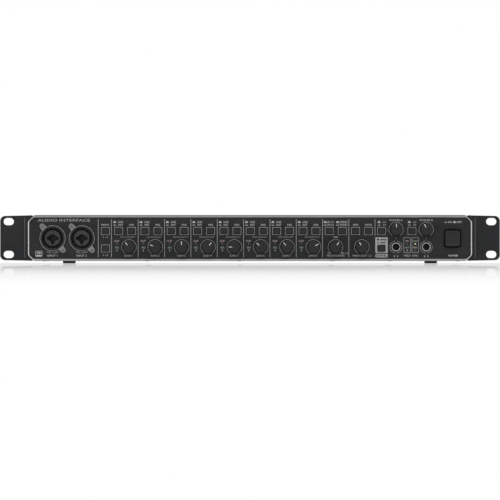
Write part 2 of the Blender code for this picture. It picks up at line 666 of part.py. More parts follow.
def main():
    clear_scene()
    black_metal = material("black_metal", (0.030, 0.031, 0.033), 0.55, 0.3)
    face_black = material("face_black", (0.031, 0.032, 0.033), 0.5)
    silver = material("silver_trim", (0.55, 0.55, 0.54), 0.35, 0.8)
    rubber = material("black_rubber", (0.012, 0.012, 0.012), 0.8)
    plastic = material("black_plastic", (0.02, 0.02, 0.02), 0.45)
    knob_black = material("knob_black", (0.028, 0.028, 0.03), 0.6)
    board_green = material("circuit_board", (0.01, 0.09, 0.03), 0.5)
    clear = material("clear_plastic", (0.7, 0.7, 0.68), 0.2)
    steel = material("socket_steel", (0.5, 0.5, 0.5), 0.3, 1.0)

    make_rack_panel(black_metal)
    make_bezel(silver)
    make_face_panel(face_black)
    make_tray(black_metal)
    make_cover(black_metal)
    for place_name, (x, d) in (("front", FOOT_FRONT), ("rear", FOOT_REAR)):
        make_foot(f"foot_{place_name}_left", -x, d, rubber)
        make_foot(f"foot_{place_name}_right", x, d, rubber)

    make_control_board(board_green)
    make_light_guide(clear)
    make_main_board(board_green)
    make_power_supply(board_green)
    for i, x in enumerate(SOCKET_XS):
        make_input_socket(f"input_socket_{i + 1}", x, plastic)
    for name, x in zip(("phones_socket_a", "phones_socket_b"), PHONES_XS):
        make_phones_socket(name, x, plastic)
    make_rear_inputs(plastic)
    make_line_outputs(plastic)
    make_digital_sockets(plastic)
    make_usb_socket(steel)
    make_mains_inlet(plastic)

    knob = knob_mesh()
    for name, x, z, turn in KNOBS:
        place(name, knob, x, z, knob_black, turn)
    button = button_mesh(BUTTON_SIZE, BUTTON_PROUD, BUTTON_BACK_D, 1.6, 0.5)
    for name, x, z in BUTTONS:
        place(name, button, x, z, plastic)
    power = button_mesh(POWER_SIZE, POWER_PROUD, POWER_BACK_D, 3.6, 1.0)
    place("power_button", power, POWER_X, POWER_Z, plastic)


main()
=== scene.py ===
"""The looks of a one-unit rack-mount audio interface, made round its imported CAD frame.

Sizes are in millimetres, and MM turns them into Blender's metres. A piece is modelled about its own
origin, with X to the right, Z up and depth, or d, along +Y, counted from the surface that it sits on.
front() and rear() say where that surface is.
"""

import json
import math

import bmesh
import bpy
from mathutils import Matrix, Vector


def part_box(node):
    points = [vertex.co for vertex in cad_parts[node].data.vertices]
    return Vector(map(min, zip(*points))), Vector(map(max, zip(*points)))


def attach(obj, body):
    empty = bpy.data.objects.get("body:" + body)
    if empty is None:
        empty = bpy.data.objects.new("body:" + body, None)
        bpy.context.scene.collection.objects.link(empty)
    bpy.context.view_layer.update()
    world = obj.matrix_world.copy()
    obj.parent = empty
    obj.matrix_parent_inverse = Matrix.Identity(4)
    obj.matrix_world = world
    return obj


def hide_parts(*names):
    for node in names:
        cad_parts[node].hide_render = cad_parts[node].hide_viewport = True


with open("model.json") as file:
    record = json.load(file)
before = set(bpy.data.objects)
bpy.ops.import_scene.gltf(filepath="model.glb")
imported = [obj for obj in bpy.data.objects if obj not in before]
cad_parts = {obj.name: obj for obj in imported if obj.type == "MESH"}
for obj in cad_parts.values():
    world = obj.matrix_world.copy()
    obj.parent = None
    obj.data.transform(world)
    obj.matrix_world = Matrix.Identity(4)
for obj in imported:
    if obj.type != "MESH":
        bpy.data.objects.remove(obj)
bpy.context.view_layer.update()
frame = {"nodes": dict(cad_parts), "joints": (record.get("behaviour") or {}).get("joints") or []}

MM = 0.001


def node_box(node):
    low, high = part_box(node)
    return low / MM, high / MM


def middle(node):
    low, high = node_box(node)
    return (low.x + high.x) / 2, (low.z + high.z) / 2


# Places and sizes that the frame gives
BEZEL_LOW, BEZEL_HIGH = node_box("front_bezel")
FACE_LOW, _ = node_box("face_panel")
RACK_LOW, RACK_HIGH = node_box("rack_panel")
TRAY_LOW, TRAY_HIGH = node_box("bottom_tray")
COVER_LOW, COVER_HIGH = node_box("top_cover")
FACE_Y = FACE_LOW.y
REAR_Y = TRAY_HIGH.y
MID_Z = (BEZEL_LOW.z + BEZEL_HIGH.z) / 2
JOINTS = {joint["child"]: joint for joint in frame["joints"]}
KNOBS = [name for name in JOINTS if name.endswith("_knob") or name.startswith("gain_knob")]
BUTTONS = [name for name in JOINTS if "button" in name and name != "power_button"]
CHANNELS = sum(name.startswith("gain_knob") for name in KNOBS)
INPUT_SOCKETS = ("input_socket_1", "input_socket_2")
PHONES_SOCKETS = ("phones_socket_a", "phones_socket_b")

# Front frame, whose corners are cut by these lengths at the top and the bottom
BEZEL_CUTS = (6.3, 5.6)
BEZEL_CUT_RADIUS = 4.2
BEZEL_INNER_CUTS = (4.25, 3.75)
BEZEL_INNER_RADIUS = 3.2
BEZEL_SIDE_WALL = 1.25
BEZEL_TOP_WALL = 2.35
BEZEL_BOTTOM_WALL = 2.05

# Rack panel, with a window behind the face and a notch at each corner of the frame
WINDOW = (416.0, 35.0)
WIDER_WINDOW = (416.4, 35.4)
WINDOW_CORNER = 1.5
EAR_STEP = 0.8
EAR_STEP_X = 217.9
EAR_HALF_HEIGHT = 21.4
RACK_HALF_HEIGHT = 22.0
RACK_CORNER = 5.5
EAR_CORNER = 4.9
NOTCH_XS = (208.3, 210.1)
SLOT_X = 233.0
SLOT_Z = 31.75 / 2
SLOT_SIZE = (9.95, 6.95)
SHEET = 1.2

# Controls
PITCH = 25.4
LINE_BUTTON_DX = 6.9
LED_DX = 5.4
COLUMN_XS = [middle(f"line_button_{i + 1}")[0] - LINE_BUTTON_DX for i in range(CHANNELS)]
LED_XS = [x + LED_DX for x in COLUMN_XS]
STATUS_LED_XS = (151.5, 159.3)
CLIP_Z = MID_Z - 5.7
SIGNAL_Z = MID_Z - 12.0
BUTTON_SIZE = (6.4, 5.4)
BUTTON_HOLE = (7.0, 6.0)
POWER_SIZE = (14.4, 15.0)

# Printing: its thickness, the width of its lines, and the rows of words and icons
PRINT = 0.05
LINE = 0.5
ICON_Z = MID_Z + 15.4
LABEL_Z = MID_Z + 12.7
ARC_LABEL_Z = MID_Z + 0.9
FOOT_Z = MID_Z - 17.0
DIVIDER_TOP = MID_Z + 18.2
DIVIDER_LOW = MID_Z - 18.4

# Input sockets, front and rear
SOCKET_HOLE = 12.1
FLANGE_RADIUS = 12.4
LUG_RADIUS = 2.6
LUGS = ((-10.0, 11.6), (10.0, -11.6))

# Rear sockets, by their X in the front view
REAR_Z = MID_Z - 0.5
REAR_INPUT_XS = [-196.0 + 27.0 * i for i in range(6)]
LINE_OUT_XS = [-34.0 + 15.0 * i for i in range(5)]
LINE_OUT_ZS = (MID_Z + 9.0, MID_Z - 9.0)
COAX_X = 47.0
OPTICAL_X = 63.0
DIGITAL_ZS = (MID_Z + 8.5, MID_Z - 8.5)
MIDI_XS = (85.0, 106.0)
REAR_LABEL_Z = REAR_Z + 17.3

# Studio
TABLE_SIZE = 30.0
CAMERA_DISTANCE = 4.0
CAMERA_HEIGHT = 12.85
VIEW_WIDTH = 482.83

UPRIGHT = Matrix.Rotation(math.pi / 2, 4, "X")
SIDEWAYS = Matrix.Rotation(math.pi / 2, 4, "Z")


# Where pieces go


def shift(x=0.0, d=0.0, z=0.0):
    return Matrix.Translation(Vector((x, d, z)) * MM)


def pivot(name):
    """The X and Z of a knob's axis."""
    x, _, z = JOINTS[name]["pos_m"]
    return x / MM, z / MM


def depths(node):
    """Where a CAD node starts and ends, as depths from the face."""
    low, high = node_box(node)
    return low.y - FACE_Y, high.y - FACE_Y


def front(x=0.0, z=0.0, turn=0.0):
    """The face's front surface at X and Z, turned clockwise by some degrees."""
    turned = Matrix.Rotation(math.radians(turn), 4, "Y")
    return shift(x, FACE_Y, z) @ turned


def rear(x=0.0, z=0.0):
    """The rear wall's outer surface at X and Z, seen from behind."""
    return shift(x, REAR_Y, z) @ Matrix.Rotation(math.pi, 4, "Z")


# Outlines, as lists of X and Z


def arc(radius, start, end, steps, cx=0.0, cz=0.0):
    turns = (math.radians(start + (end - start) * i / steps) for i in range(steps + 1))
    return [(cx + radius * math.cos(a), cz + radius * math.sin(a)) for a in turns]


def circle(radius, cx=0.0, cz=0.0, facets=48):
    return arc(radius, 0, 360, facets, cx, cz)[:-1]


def rectangle(width, height, cx=0.0, cz=0.0):
    w, h = width / 2, height / 2
    return [(cx - w, cz - h), (cx + w, cz - h), (cx + w, cz + h), (cx - w, cz + h)]


def rounded(width, height, radius, cx=0.0, cz=0.0, steps=6):
    w, h = width / 2 - radius, height / 2 - radius
    corners = ((w, h, 0), (-w, h, 90), (-w, -h, 180), (w, -h, 270))
    return [p for x, z, a in corners for p in arc(radius, a, a + 90, steps, cx + x, cz + z)]


def cut_corners(width, height, cuts, radius, cx=0.0, cz=0.0, steps=6):
    """A rectangle with its upper and its lower corners cut off at 45 degrees, and the cuts' ends rounded."""
    w, h = width / 2, height / 2
    loop = []
    for sx, sz, turn in ((1, 1, 0), (-1, 1, 90), (-1, -1, 180), (1, -1, 270)):
        far = (cuts[0] if sz > 0 else cuts[1]) + radius * math.tan(math.pi / 8)
        ends = [(w - radius, h - far), (w - far, h - radius)][::sx * sz]
        for i, (x, z) in enumerate(ends):
            start = turn + 45 * i
            loop += arc(radius, start, start + 45, steps, cx + sx * x, cz + sz * z)
    return loop


def stadium(length, width, cx=0.0, cz=0.0, upright=False, steps=10):
    reach = (length - width) / 2
    dx, dz, turn = (0, reach, 90) if upright else (reach, 0, 0)
    right = arc(width / 2, turn - 90, turn + 90, steps, cx + dx, cz + dz)
    return right + arc(width / 2, turn + 90, turn + 270, steps, cx - dx, cz - dz)


def band(radius, width, start, end, cx=0.0, cz=0.0, steps=40):
    """Part of a ring, as one closed outline."""
    outer = arc(radius + width / 2, start, end, steps, cx, cz)
    return outer + arc(radius - width / 2, end, start, steps, cx, cz)


def mirrored(right):
    """A whole outline from its right half, which runs upwards."""
    return right + [(-x, z) for x, z in reversed(right)]


def stroke(x0, z0, x1, z1, width=LINE):
    """A straight line of some width."""
    along = Vector((x1 - x0, z1 - z0)).normalized() * width / 2
    return [(x0 + along.y, z0 - along.x), (x1 + along.y, z1 - along.x),
            (x1 - along.y, z1 + along.x), (x0 - along.y, z0 + along.x)]


# Meshes


def linked(name, data):
    made = bpy.data.objects.new(name, data)
    bpy.context.scene.collection.objects.link(made)
    return made


def mesh_from(bm, turn_out=True):
    """Ends a working mesh, with its faces looking outwards."""
    if turn_out:
        bmesh.ops.recalc_face_normals(bm, faces=bm.faces)
    mesh = bpy.data.meshes.new("part")
    bm.to_mesh(mesh)
    bm.free()
    return mesh


def mesh_in_mm(bm):
    bm.transform(Matrix.Scale(MM, 4))
    return mesh_from(bm)


def evaluated(data):
    """The mesh that a curve or a text makes, with its seams closed."""
    guide = linked("guide", data)
    graph = bpy.context.evaluated_depsgraph_get()
    mesh = bpy.data.meshes.new_from_object(guide.evaluated_get(graph))
    bpy.data.objects.remove(guide)
    bm = bmesh.new()
    bm.from_mesh(mesh)
    bpy.data.meshes.remove(mesh)
    bmesh.ops.remove_doubles(bm, verts=bm.verts, dist=1e-7)
    return bm


def plate(loops, start, end, edge=0.0):
    """Outlines, filled and given a depth. Those inside another are holes, and edge rounds the rims."""
    curve = bpy.data.curves.new("outline", "CURVE")
    curve.dimensions = "2D"
    curve.fill_mode = "BOTH"
    curve.extrude = ((end - start) / 2 - edge) * MM
    curve.bevel_depth = edge * MM
    curve.bevel_resolution = 1
    curve.offset = -edge * MM
    for loop in loops:
        spline = curve.splines.new("POLY")
        spline.points.add(len(loop) - 1)
        spline.use_cyclic_u = True
        for at, (x, z) in zip(spline.points, loop):
            at.co = (x * MM, z * MM, 0, 1)
    bm = evaluated(curve)
    bm.transform(Matrix.Translation((0, (start + end) / 2 * MM, 0)) @ UPRIGHT)
    return mesh_from(bm)


def turned_ring(bm, radius, along, facets, flutes, depth):
    """A ring of corners round the Y axis, drawn in by its flutes, or one corner on the axis."""
    if radius == 0:
        return [bm.verts.new((0, along, 0))]
    ring = []
    for i in range(facets):
        turn = 2 * math.pi * i / facets
        reach = radius - (depth * max(0.0, math.cos(flutes * turn)) ** 0.6 if flutes else 0.0)
        ring.append(bm.verts.new((reach * math.sin(turn), along, reach * math.cos(turn))))
    return ring


def lathe(profile, facets=48, flutes=0, flute_depth=0.0):
    """Turns a profile of (radius, d) round the Y axis: a solid where it starts at 0, or else a ring.

    A third value on a point says how deep the flutes are cut there.
    """
    bm = bmesh.new()
    rings = [turned_ring(bm, radius, along, facets, flutes, flute_depth * sum(share))
             for radius, along, *share in profile]
    follow = rings[1:] + ([rings[0]] if profile[0][0] > 0 else [])
    for one, two in zip(rings, follow):
        for i in range(facets):
            j = (i + 1) % facets
            corners = [one[i % len(one)], one[j % len(one)], two[j % len(two)], two[i % len(two)]]
            unique = list(dict.fromkeys(corners))
            if len(unique) > 2:
                bm.faces.new(unique)
    return mesh_in_mm(bm)


def ring(inner, outer, start, end, facets=48, edge=0.0):
    """A ring, or a disc where the inner radius is 0. An edge cuts its front corners."""
    profile = [(inner, start), (outer, start), (outer, end), (inner, end)]
    if edge:
        profile[:2] = [(inner, start + edge), (inner + edge, start),
                       (outer - edge, start), (outer, start + edge)]
    return lathe(profile, facets)


def loft(sections, closed=False):
    """Joins outlines of equal length, each given with its d. Closed, the last one joins the first."""
    bm = bmesh.new()
    rings = [[bm.verts.new((x, d, z)) for x, z in loop] for loop, d in sections]
    for one, two in zip(rings, rings[1:] + ([rings[0]] if closed else [])):
        for i in range(len(one)):
            j = (i + 1) % len(one)
            bm.faces.new((one[i], one[j], two[j], two[i]))
    if not closed:
        bm.faces.new(rings[0])
        bm.faces.new(rings[-1])
    return mesh_in_mm(bm)


def block(xs, ds, zs, edge=0.0):
    """A box with bevelled edges. Each pair of limits may come in either order."""
    bm = bmesh.new()
    bmesh.ops.create_cube(bm, size=1.0)
    for corner in bm.verts:
        corner.co = Vector(min(pair) if co < 0 else max(pair) for co, pair in zip(corner.co, (xs, ds, zs)))
    if edge:
        bmesh.ops.bevel(bm, geom=bm.edges[:], offset=edge, segments=2, profile=0.5, affect="EDGES")
    return mesh_in_mm(bm)


def moved(mesh, x=0.0, d=0.0, z=0.0, matrix=None):
    mesh.transform(shift(x, d, z) @ (matrix or Matrix.Identity(4)))
    return mesh


def copies(parts, places, d=0.0):
    """The parts again at each X and Z."""
    return [moved(part.copy(), x, d, z) for x, z in places for part in parts]


def joined(meshes):
    bm = bmesh.new()
    for mesh in meshes:
        bm.from_mesh(mesh)
    return mesh_from(bm, turn_out=False)


def boolean(base, other, operation):
    """One mesh cut by, or united with, another. The other's own shapes don't touch each other."""
    objects = [linked("side", mesh) for mesh in (base, other)]
    modifier = objects[0].modifiers.new("boolean", "BOOLEAN")
    modifier.operation = operation
    modifier.solver = "EXACT"
    modifier.object = objects[1]
    graph = bpy.context.evaluated_depsgraph_get()
    made = bpy.data.meshes.new_from_object(objects[0].evaluated_get(graph))
    for side in objects:
        bpy.data.objects.remove(side)
    return made


def lettering(words, x, z, width, height, weight=0.0):
    """Raised letters that fill a width and a height, as a thin print on the surface."""
    text = bpy.data.curves.new("words", "FONT")
    text.body = words
    text.size = height * MM
    text.offset = weight * MM
    text.resolution_u = 3
    text.extrude = PRINT / 2 * MM
    bm = evaluated(text)
    xs = [v.co.x for v in bm.verts]
    ys = [v.co.y for v in bm.verts]
    wide, tall = max(xs) - min(xs), max(ys) - min(ys)
    centre = Matrix.Translation((-(max(xs) + min(xs)) / 2, -(max(ys) + min(ys)) / 2, 0))
    fit = Matrix.Diagonal((width * MM / wide, height * MM / tall, 1, 1))
    bm.transform(shift(x, -PRINT / 2, z) @ UPRIGHT @ fit @ centre)
    return mesh_from(bm)


def printed(loops):
    return plate(loops, -PRINT, 0.01)


def arched(mesh, cx, cz, radius):
    """Bends letters round the underside of a circle."""
    for corner in mesh.vertices:
        x, y, z = corner.co / MM
        turn, reach = x / radius, radius - z
        corner.co = Vector((cx + reach * math.sin(turn), y, cz - reach * math.cos(turn))) * MM
    return mesh


def piece(name, parts, look, at=None, body="chassis", replaced=()):
    """Joins parts that share one origin into a piece that rides a CAD body, by default on the face."""
    mesh = joined(parts) if len(parts) > 1 else parts[0]
    mesh.name = name
    mesh.materials.clear()
    mesh.materials.append(look.material)
    mesh.shade_smooth()
    mesh.set_sharp_from_angle(angle=math.radians(35))
    made = linked(name, mesh)
    made.matrix_world = at or front()
    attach(made, body)
    if replaced:
        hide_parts(*replaced)


def repaint(node, look):
    """A CAD piece that keeps its shape gets a finer material."""
    mesh = frame["nodes"][node].data
    mesh.materials.clear()
    mesh.materials.append(look.material)


# Materials


class Look:
    """A Principled material, the record's slot that it belongs to, and short ways to feed it."""

    def __init__(self, name, slot, roughness, metallic=0.0, specular=0.5):
        self.slot = slot
        self.material = bpy.data.materials.new(name)
        self.material.use_nodes = True
        self.nodes = self.material.node_tree.nodes
        self.links = self.material.node_tree.links
        self.shader = self.nodes["Principled BSDF"]
        self.shader.inputs["Roughness"].default_value = roughness
        self.shader.inputs["Metallic"].default_value = metallic
        self.shader.inputs["Specular IOR Level"].default_value = specular
        self.place = self.nodes.new("ShaderNodeTexCoord").outputs["Object"]
        self.axes = None
        self.drift = None

    def feed(self, name, value):
        self.links.new(value, self.shader.inputs[name])

    def noise(self, size, detail=2.0, stretch=(1, 1, 1)):
        """Soft noise whose features are about so many millimetres across."""
        mapping = self.nodes.new("ShaderNodeMapping")
        mapping.inputs["Scale"].default_value = [1 / (size * MM * s) for s in stretch]
        self.links.new(self.place, mapping.inputs["Vector"])
        noise = self.nodes.new("ShaderNodeTexNoise")
        noise.inputs["Scale"].default_value = 1.0
        noise.inputs["Detail"].default_value = detail
        self.links.new(mapping.outputs["Vector"], noise.inputs["Vector"])
        return noise.outputs["Fac"]

    def math(self, operation, one, two=0.0):
        """Arithmetic on outputs or numbers."""
        node = self.nodes.new("ShaderNodeMath")
        node.operation = operation
        for key, value in ((0, one), (1, two)):
            if isinstance(value, (int, float)):
                node.inputs[key].default_value = value
            else:
                self.links.new(value, node.inputs[key])
        return node.outputs["Value"]

    def along(self, axis, start, end):
        """From 0 to 1 as a point's X, Y or Z goes from start to end. X counts from the middle."""
        if not self.axes:
            self.axes = self.nodes.new("ShaderNodeSeparateXYZ")
            self.links.new(self.place, self.axes.inputs["Vector"])
        value = self.axes.outputs[axis]
        if axis == "X":
            value = self.math("ABSOLUTE", value)
        return self.grade(value, 0.0, 1.0, start * MM, end * MM)

    def grade(self, value, low, high, start=0.3, end=0.7):
        """Takes a value from one range to another."""
        grade = self.nodes.new("ShaderNodeMapRange")
        for key, number in (("From Min", start), ("From Max", end), ("To Min", low), ("To Max", high)):
            grade.inputs[key].default_value = number
        self.links.new(value, grade.inputs["Value"])
        return grade.outputs["Result"]

    def blend(self, share, one, two):
        """Mixes two colours. Either may be another node's output."""
        mix = self.nodes.new("ShaderNodeMix")
        mix.data_type = "RGBA"
        self.links.new(share, mix.inputs["Factor"])
        for key, color in ((6, one), (7, two)):
            if isinstance(color, tuple):
                mix.inputs[key].default_value = (*color, 1)
            else:
                self.links.new(color, mix.inputs[key])
        return mix.outputs[2]

    def color(self, dark, light, size, detail=3.0):
        """Base colour that drifts between two colours."""
        self.drift = self.blend(self.grade(self.noise(size, detail), 0, 1), dark, light)
        self.feed("Base Color", self.drift)

    def rough(self, value, low, high):
        self.feed("Roughness", self.grade(value, low, high))

    def bump(self, value, depth):
        bump = self.nodes.new("ShaderNodeBump")
        bump.inputs["Distance"].default_value = depth * MM
        self.links.new(value, bump.inputs["Height"])
        self.feed("Normal", bump.outputs["Normal"])


def grained(name, slot, roughness, color, rough, bump, metallic=0.0, specular=0.5):
    """A look that varies a little in colour, gloss and height.

    color is (dark, light, size), rough is (low, high, size) and bump is (depth, size). More values
    go to the noise behind each: its detail, and how far it is stretched.
    """
    look = Look(name, slot, roughness, metallic, specular)
    look.color(*color)
    low, high, *spread = rough
    look.rough(look.noise(*spread), low, high)
    depth, *grain = bump
    look.bump(look.noise(*grain), depth)
    return look


def powder_coat(name="powder_coat", fold=False):
    """Fine-grained black powder coat on steel. With fold, a paler line is painted along the fold as a
    painted highlight.
    """
    look = grained(name, "black_metal", 0.55, ((0.0140, 0.0148, 0.0160), (0.0178, 0.0186, 0.0200), 30),
                   (0.48, 0.62, 1.2), (0.04, 0.45, 1.5), specular=0.2)
    if fold:
        # Painted highlight: a pale line along the ear's fold, fading out near the top and the bottom.
        thin = look.math("MULTIPLY", look.along("X", EAR_STEP_X - 1.0, EAR_STEP_X - 0.6),
                         look.along("X", EAR_STEP_X + 0.12, EAR_STEP_X + 0.02))
        for away in (-RACK_HALF_HEIGHT, RACK_HALF_HEIGHT):
            thin = look.math("MULTIPLY", thin, look.along("Z", MID_Z + away * 0.93, MID_Z + away * 0.86))
        look.feed("Base Color", look.blend(thin, look.drift, (0.090, 0.090, 0.090)))
    return look


def satin_silver_painted_light():
    """Satin silver trim, brushed along its length. Its colour holds painted light: painted shade makes the
    top and bottom runs grey and darkens the top edge, and painted highlights make the ends and the lower
    corners bright.
    """
    look = Look("satin_silver_painted_light", "silver_trim", 0.32, metallic=0.85)
    edge, low = BEZEL_HIGH.x, BEZEL_LOW.z
    # Painted highlight: the frame's lower cut corners.
    painted_highlight_low_corners = look.math("MULTIPLY", look.along("X", edge - 6.65, edge - 4.15),
                            look.along("Z", low + 8, low + 6))
    # Painted highlight: the bright ends, plus the lower corners at half strength.
    ends = look.math("MAXIMUM", look.along("X", edge - 1.75, edge - 0.95),
                     look.math("MULTIPLY", painted_highlight_low_corners, 0.55))
    # Painted shade: the outer half of the top wall turns darker.
    upper = look.along("Z", BEZEL_HIGH.z - BEZEL_TOP_WALL / 2, BEZEL_HIGH.z - 0.9)
    grain = look.grade(look.noise(12.0, 3.0), 0, 1)
    # Painted shade: the long top and bottom runs get a darker grey than the ends, over a real grain.
    grained_run_painted_shade = look.blend(grain, (0.32, 0.32, 0.316), (0.365, 0.365, 0.36))
    painted_shade_long_runs = look.blend(upper, grained_run_painted_shade, (0.11, 0.11, 0.108))
    # Painted highlight: the bright tone of the ends and corners.
    painted_highlight_tone = look.blend(grain, (0.62, 0.62, 0.61), (0.69, 0.69, 0.68))
    look.feed("Base Color", look.blend(ends, painted_shade_long_runs, painted_highlight_tone))
    lines = look.noise(0.25, 2.0, stretch=(40, 1, 1))
    look.rough(lines, 0.26, 0.42)
    look.bump(lines, 0.01)
    return look


def print_ink(name, color, slot="face_black"):
    """Screen printing ink, a little uneven."""
    thin = tuple(c * 0.78 for c in color)
    return grained(name, slot, 0.55, (thin, color, 0.8), (0.48, 0.62, 0.4), (0.006, 0.15, 1.0), specular=0.3)


def moulded(name, dark, light, texture=0.2, rough=(0.5, 0.65), slot="black_plastic"):
    """Plastic with a spark-eroded texture."""
    return grained(name, slot, 0.45, ((dark,) * 3, (light, light, light * 1.03), 6),
                   (*rough, 1.0), (0.012, texture, 1.5), specular=0.25)


def plated(name, tone, rough=(0.16, 0.3)):
    """Plated steel with faint turning marks."""
    return grained(name, "socket_steel", 0.22, ((tone * 0.88,) * 3, (tone, tone, tone * 0.98), 2),
                   (*rough, 0.6), (0.004, 0.2, 2.0, (1, 8, 1)), metallic=1.0)


def circuit_board(name, top=None):
    """Green solder resist. Above a height it turns into dark components."""
    look = grained(name, "circuit_board", 0.4, ((0.006, 0.045, 0.018), (0.012, 0.085, 0.03), 2.5, 6.0),
                   (0.3, 0.5, 3.0), (0.03, 1.2, 4.0))
    if top is not None:
        patches = look.grade(look.noise(9.0), 0, 1, 0.48, 0.52)
        parts = look.blend(patches, (0.02, 0.02, 0.022), (0.05, 0.045, 0.04))
        look.feed("Base Color", look.blend(look.along("Z", top, top + 0.05), look.drift, parts))
    return look


def lens(name, dark, light, glow=0.0):
    """A coloured lamp lens, its colour drifting a little."""
    look = Look(name, "clear_plastic", 0.15, specular=0.6)
    look.color(dark, light, 0.9, 1.0)
    look.rough(look.noise(0.5), 0.1, 0.22)
    look.shader.inputs["Coat Weight"].default_value = 0.5
    if glow:
        look.feed("Emission Color", look.drift)
        look.shader.inputs["Emission Strength"].default_value = glow
    return look


POWDER = powder_coat()
POWDER_FOLD_HIGHLIGHT = powder_coat("powder_coat_fold_highlight", fold=True)
SILVER = satin_silver_painted_light()
BOARD = circuit_board("upright_board")

# Smooth matt black paint, and the inks printed on it and on the knobs
PAINT = grained("face_paint", "face_black", 0.5, ((0.0165, 0.0168, 0.0172), (0.0205, 0.0208, 0.0212), 18),
                (0.44, 0.56, 0.6), (0.018, 0.3, 1.0), specular=0.2)
INK = print_ink("pale_ink", (0.36, 0.36, 0.37))
DIM_INK = print_ink("dim_ink", (0.19, 0.19, 0.195))
SILVER_INK = print_ink("silver_ink", (0.40, 0.40, 0.395))
RED_INK = print_ink("red_ink", (0.36, 0.29, 0.27))
GREEN_INK = print_ink("green_ink", (0.26, 0.31, 0.275))
BRIGHT_INK = print_ink("bright_ink", (0.48, 0.48, 0.48))
DARK_INK = print_ink("dark_ink", (0.012, 0.012, 0.012))
WHITE = print_ink("pointer_white", (0.86, 0.86, 0.84), "knob_black")

# The knobs' rubbery coating, the feet's rubber and the light guide's clear plastic
TOUCH = grained("soft_touch", "knob_black", 0.6, ((0.019, 0.019, 0.0195), (0.024, 0.024, 0.025), 4),
                (0.52, 0.68, 0.8), (0.012, 0.12, 1.0), specular=0.2)
RUBBER = grained("rubber", "black_rubber", 0.8, ((0.008, 0.008, 0.008), (0.016, 0.016, 0.016), 3),
                 (0.7, 0.9, 1.5), (0.03, 0.35, 2.0), specular=0.25)
CLEAR = grained("clear_plastic", "clear_plastic", 0.15, ((0.5, 0.5, 0.48), (0.62, 0.62, 0.6), 5),
                (0.1, 0.2, 2.0), (0.01, 1.0))

# Plastics of buttons and sockets
PLASTIC = moulded("moulded_plastic", 0.014, 0.019, rough=(0.38, 0.5))
SOCKET_PLASTIC = moulded("socket_plastic", 0.017, 0.024, 0.15, (0.35, 0.48))
DEEP_PLASTIC = moulded("deep_plastic", 0.010, 0.014)
CORE = moulded("core_plastic", 0.030, 0.040, rough=(0.45, 0.6))
GROOVE = moulded("groove_plastic", 0.10, 0.12)
ORANGE = moulded("orange_plastic", 0.3, 0.35, rough=(0.38, 0.5))
PALE_PLASTIC = moulded("pale_plastic", 0.5, 0.6, rough=(0.38, 0.5), slot="socket_steel")

# Metal of sockets and screws
PLATED = plated("plated_metal", 0.62)
NOSE = plated("plated_nose", 0.42, (0.3, 0.42))
CONTACT = plated("jack_contact", 0.06, (0.35, 0.5))
DARK_METAL = plated("black_screw", 0.05, (0.3, 0.45))
GOLD = plated("contact_gold", 0.6)
LUG = grained("socket_lug", "black_plastic", 0.45, ((0.16, 0.16, 0.16), (0.225, 0.225, 0.22), 2.5),
              (0.38, 0.55, 0.8), (0.01, 0.2, 1.5), specular=0.4)
LUG_SCREW = print_ink("lug_screw", (0.19, 0.19, 0.19), "socket_steel")


# Front frame


def ears_outline():
    """The sheet behind the frame, whose edges fall slightly from the step to the ears' round corners."""
    edge, low = RACK_HIGH.x, EAR_HALF_HEIGHT
    inner = EAR_STEP_X - 4
    right = [(inner, MID_Z - RACK_HALF_HEIGHT + 0.1)]
    right += arc(EAR_CORNER, -90, 0, 12, edge - EAR_CORNER, MID_Z - low + EAR_CORNER)
    right += arc(EAR_CORNER, 0, 90, 12, edge - EAR_CORNER, MID_Z + low - EAR_CORNER)
    right += [(inner, MID_Z + RACK_HALF_HEIGHT - 0.1)]
    return mirrored(right)


def rack_panel():
    """A folded sheet: a middle that stands a step proud, and an ear with two slots at each end."""
    start, end = depths("rack_panel")
    corners = [(sx, sz) for sx in (-1, 1) for sz in (-1, 1)]
    slots = [stadium(*SLOT_SIZE, sx * SLOT_X, MID_Z + sz * SLOT_Z, steps=14) for sx, sz in corners]
    window = rounded(*WINDOW, WINDOW_CORNER, 0, MID_Z)
    wider = rounded(*WIDER_WINDOW, WINDOW_CORNER, 0, MID_Z)
    ears = plate([ears_outline(), window, *slots], start + EAR_STEP, end, 0.25)
    rim = rounded(2 * EAR_STEP_X, 2 * RACK_HALF_HEIGHT, RACK_CORNER, 0, MID_Z, 10)
    step = plate([rim, wider], start, end - 0.5, 0.25)
    notches = [block([sx * x for x in NOTCH_XS], (start - 1, end + 1),
                     (MID_Z + sz * EAR_HALF_HEIGHT, MID_Z + sz * (RACK_HALF_HEIGHT + 1)))
               for sx, sz in corners]
    solid = boolean(boolean(ears, step, "UNION"), joined(notches), "DIFFERENCE")
    piece("rack_panel_coated", [solid], POWDER_FOLD_HIGHLIGHT, replaced=["rack_panel"])


def bezel_outline(inset, spare=0.0):
    """The frame's outline, inset by a share of its wall: 0 is the outer edge and 1 the inner one."""
    width = BEZEL_HIGH.x - BEZEL_LOW.x - 2 * (BEZEL_SIDE_WALL * inset + spare)
    walls = (BEZEL_TOP_WALL + BEZEL_BOTTOM_WALL) * inset
    height = BEZEL_HIGH.z - BEZEL_LOW.z - walls - 2 * spare
    cuts = [outer + (inner - outer) * inset for outer, inner in zip(BEZEL_CUTS, BEZEL_INNER_CUTS)]
    radius = BEZEL_CUT_RADIUS + (BEZEL_INNER_RADIUS - BEZEL_CUT_RADIUS) * inset
    lowered = (BEZEL_TOP_WALL - BEZEL_BOTTOM_WALL) / 2 * inset
    return cut_corners(width, height, cuts, radius, 0, MID_Z - lowered)


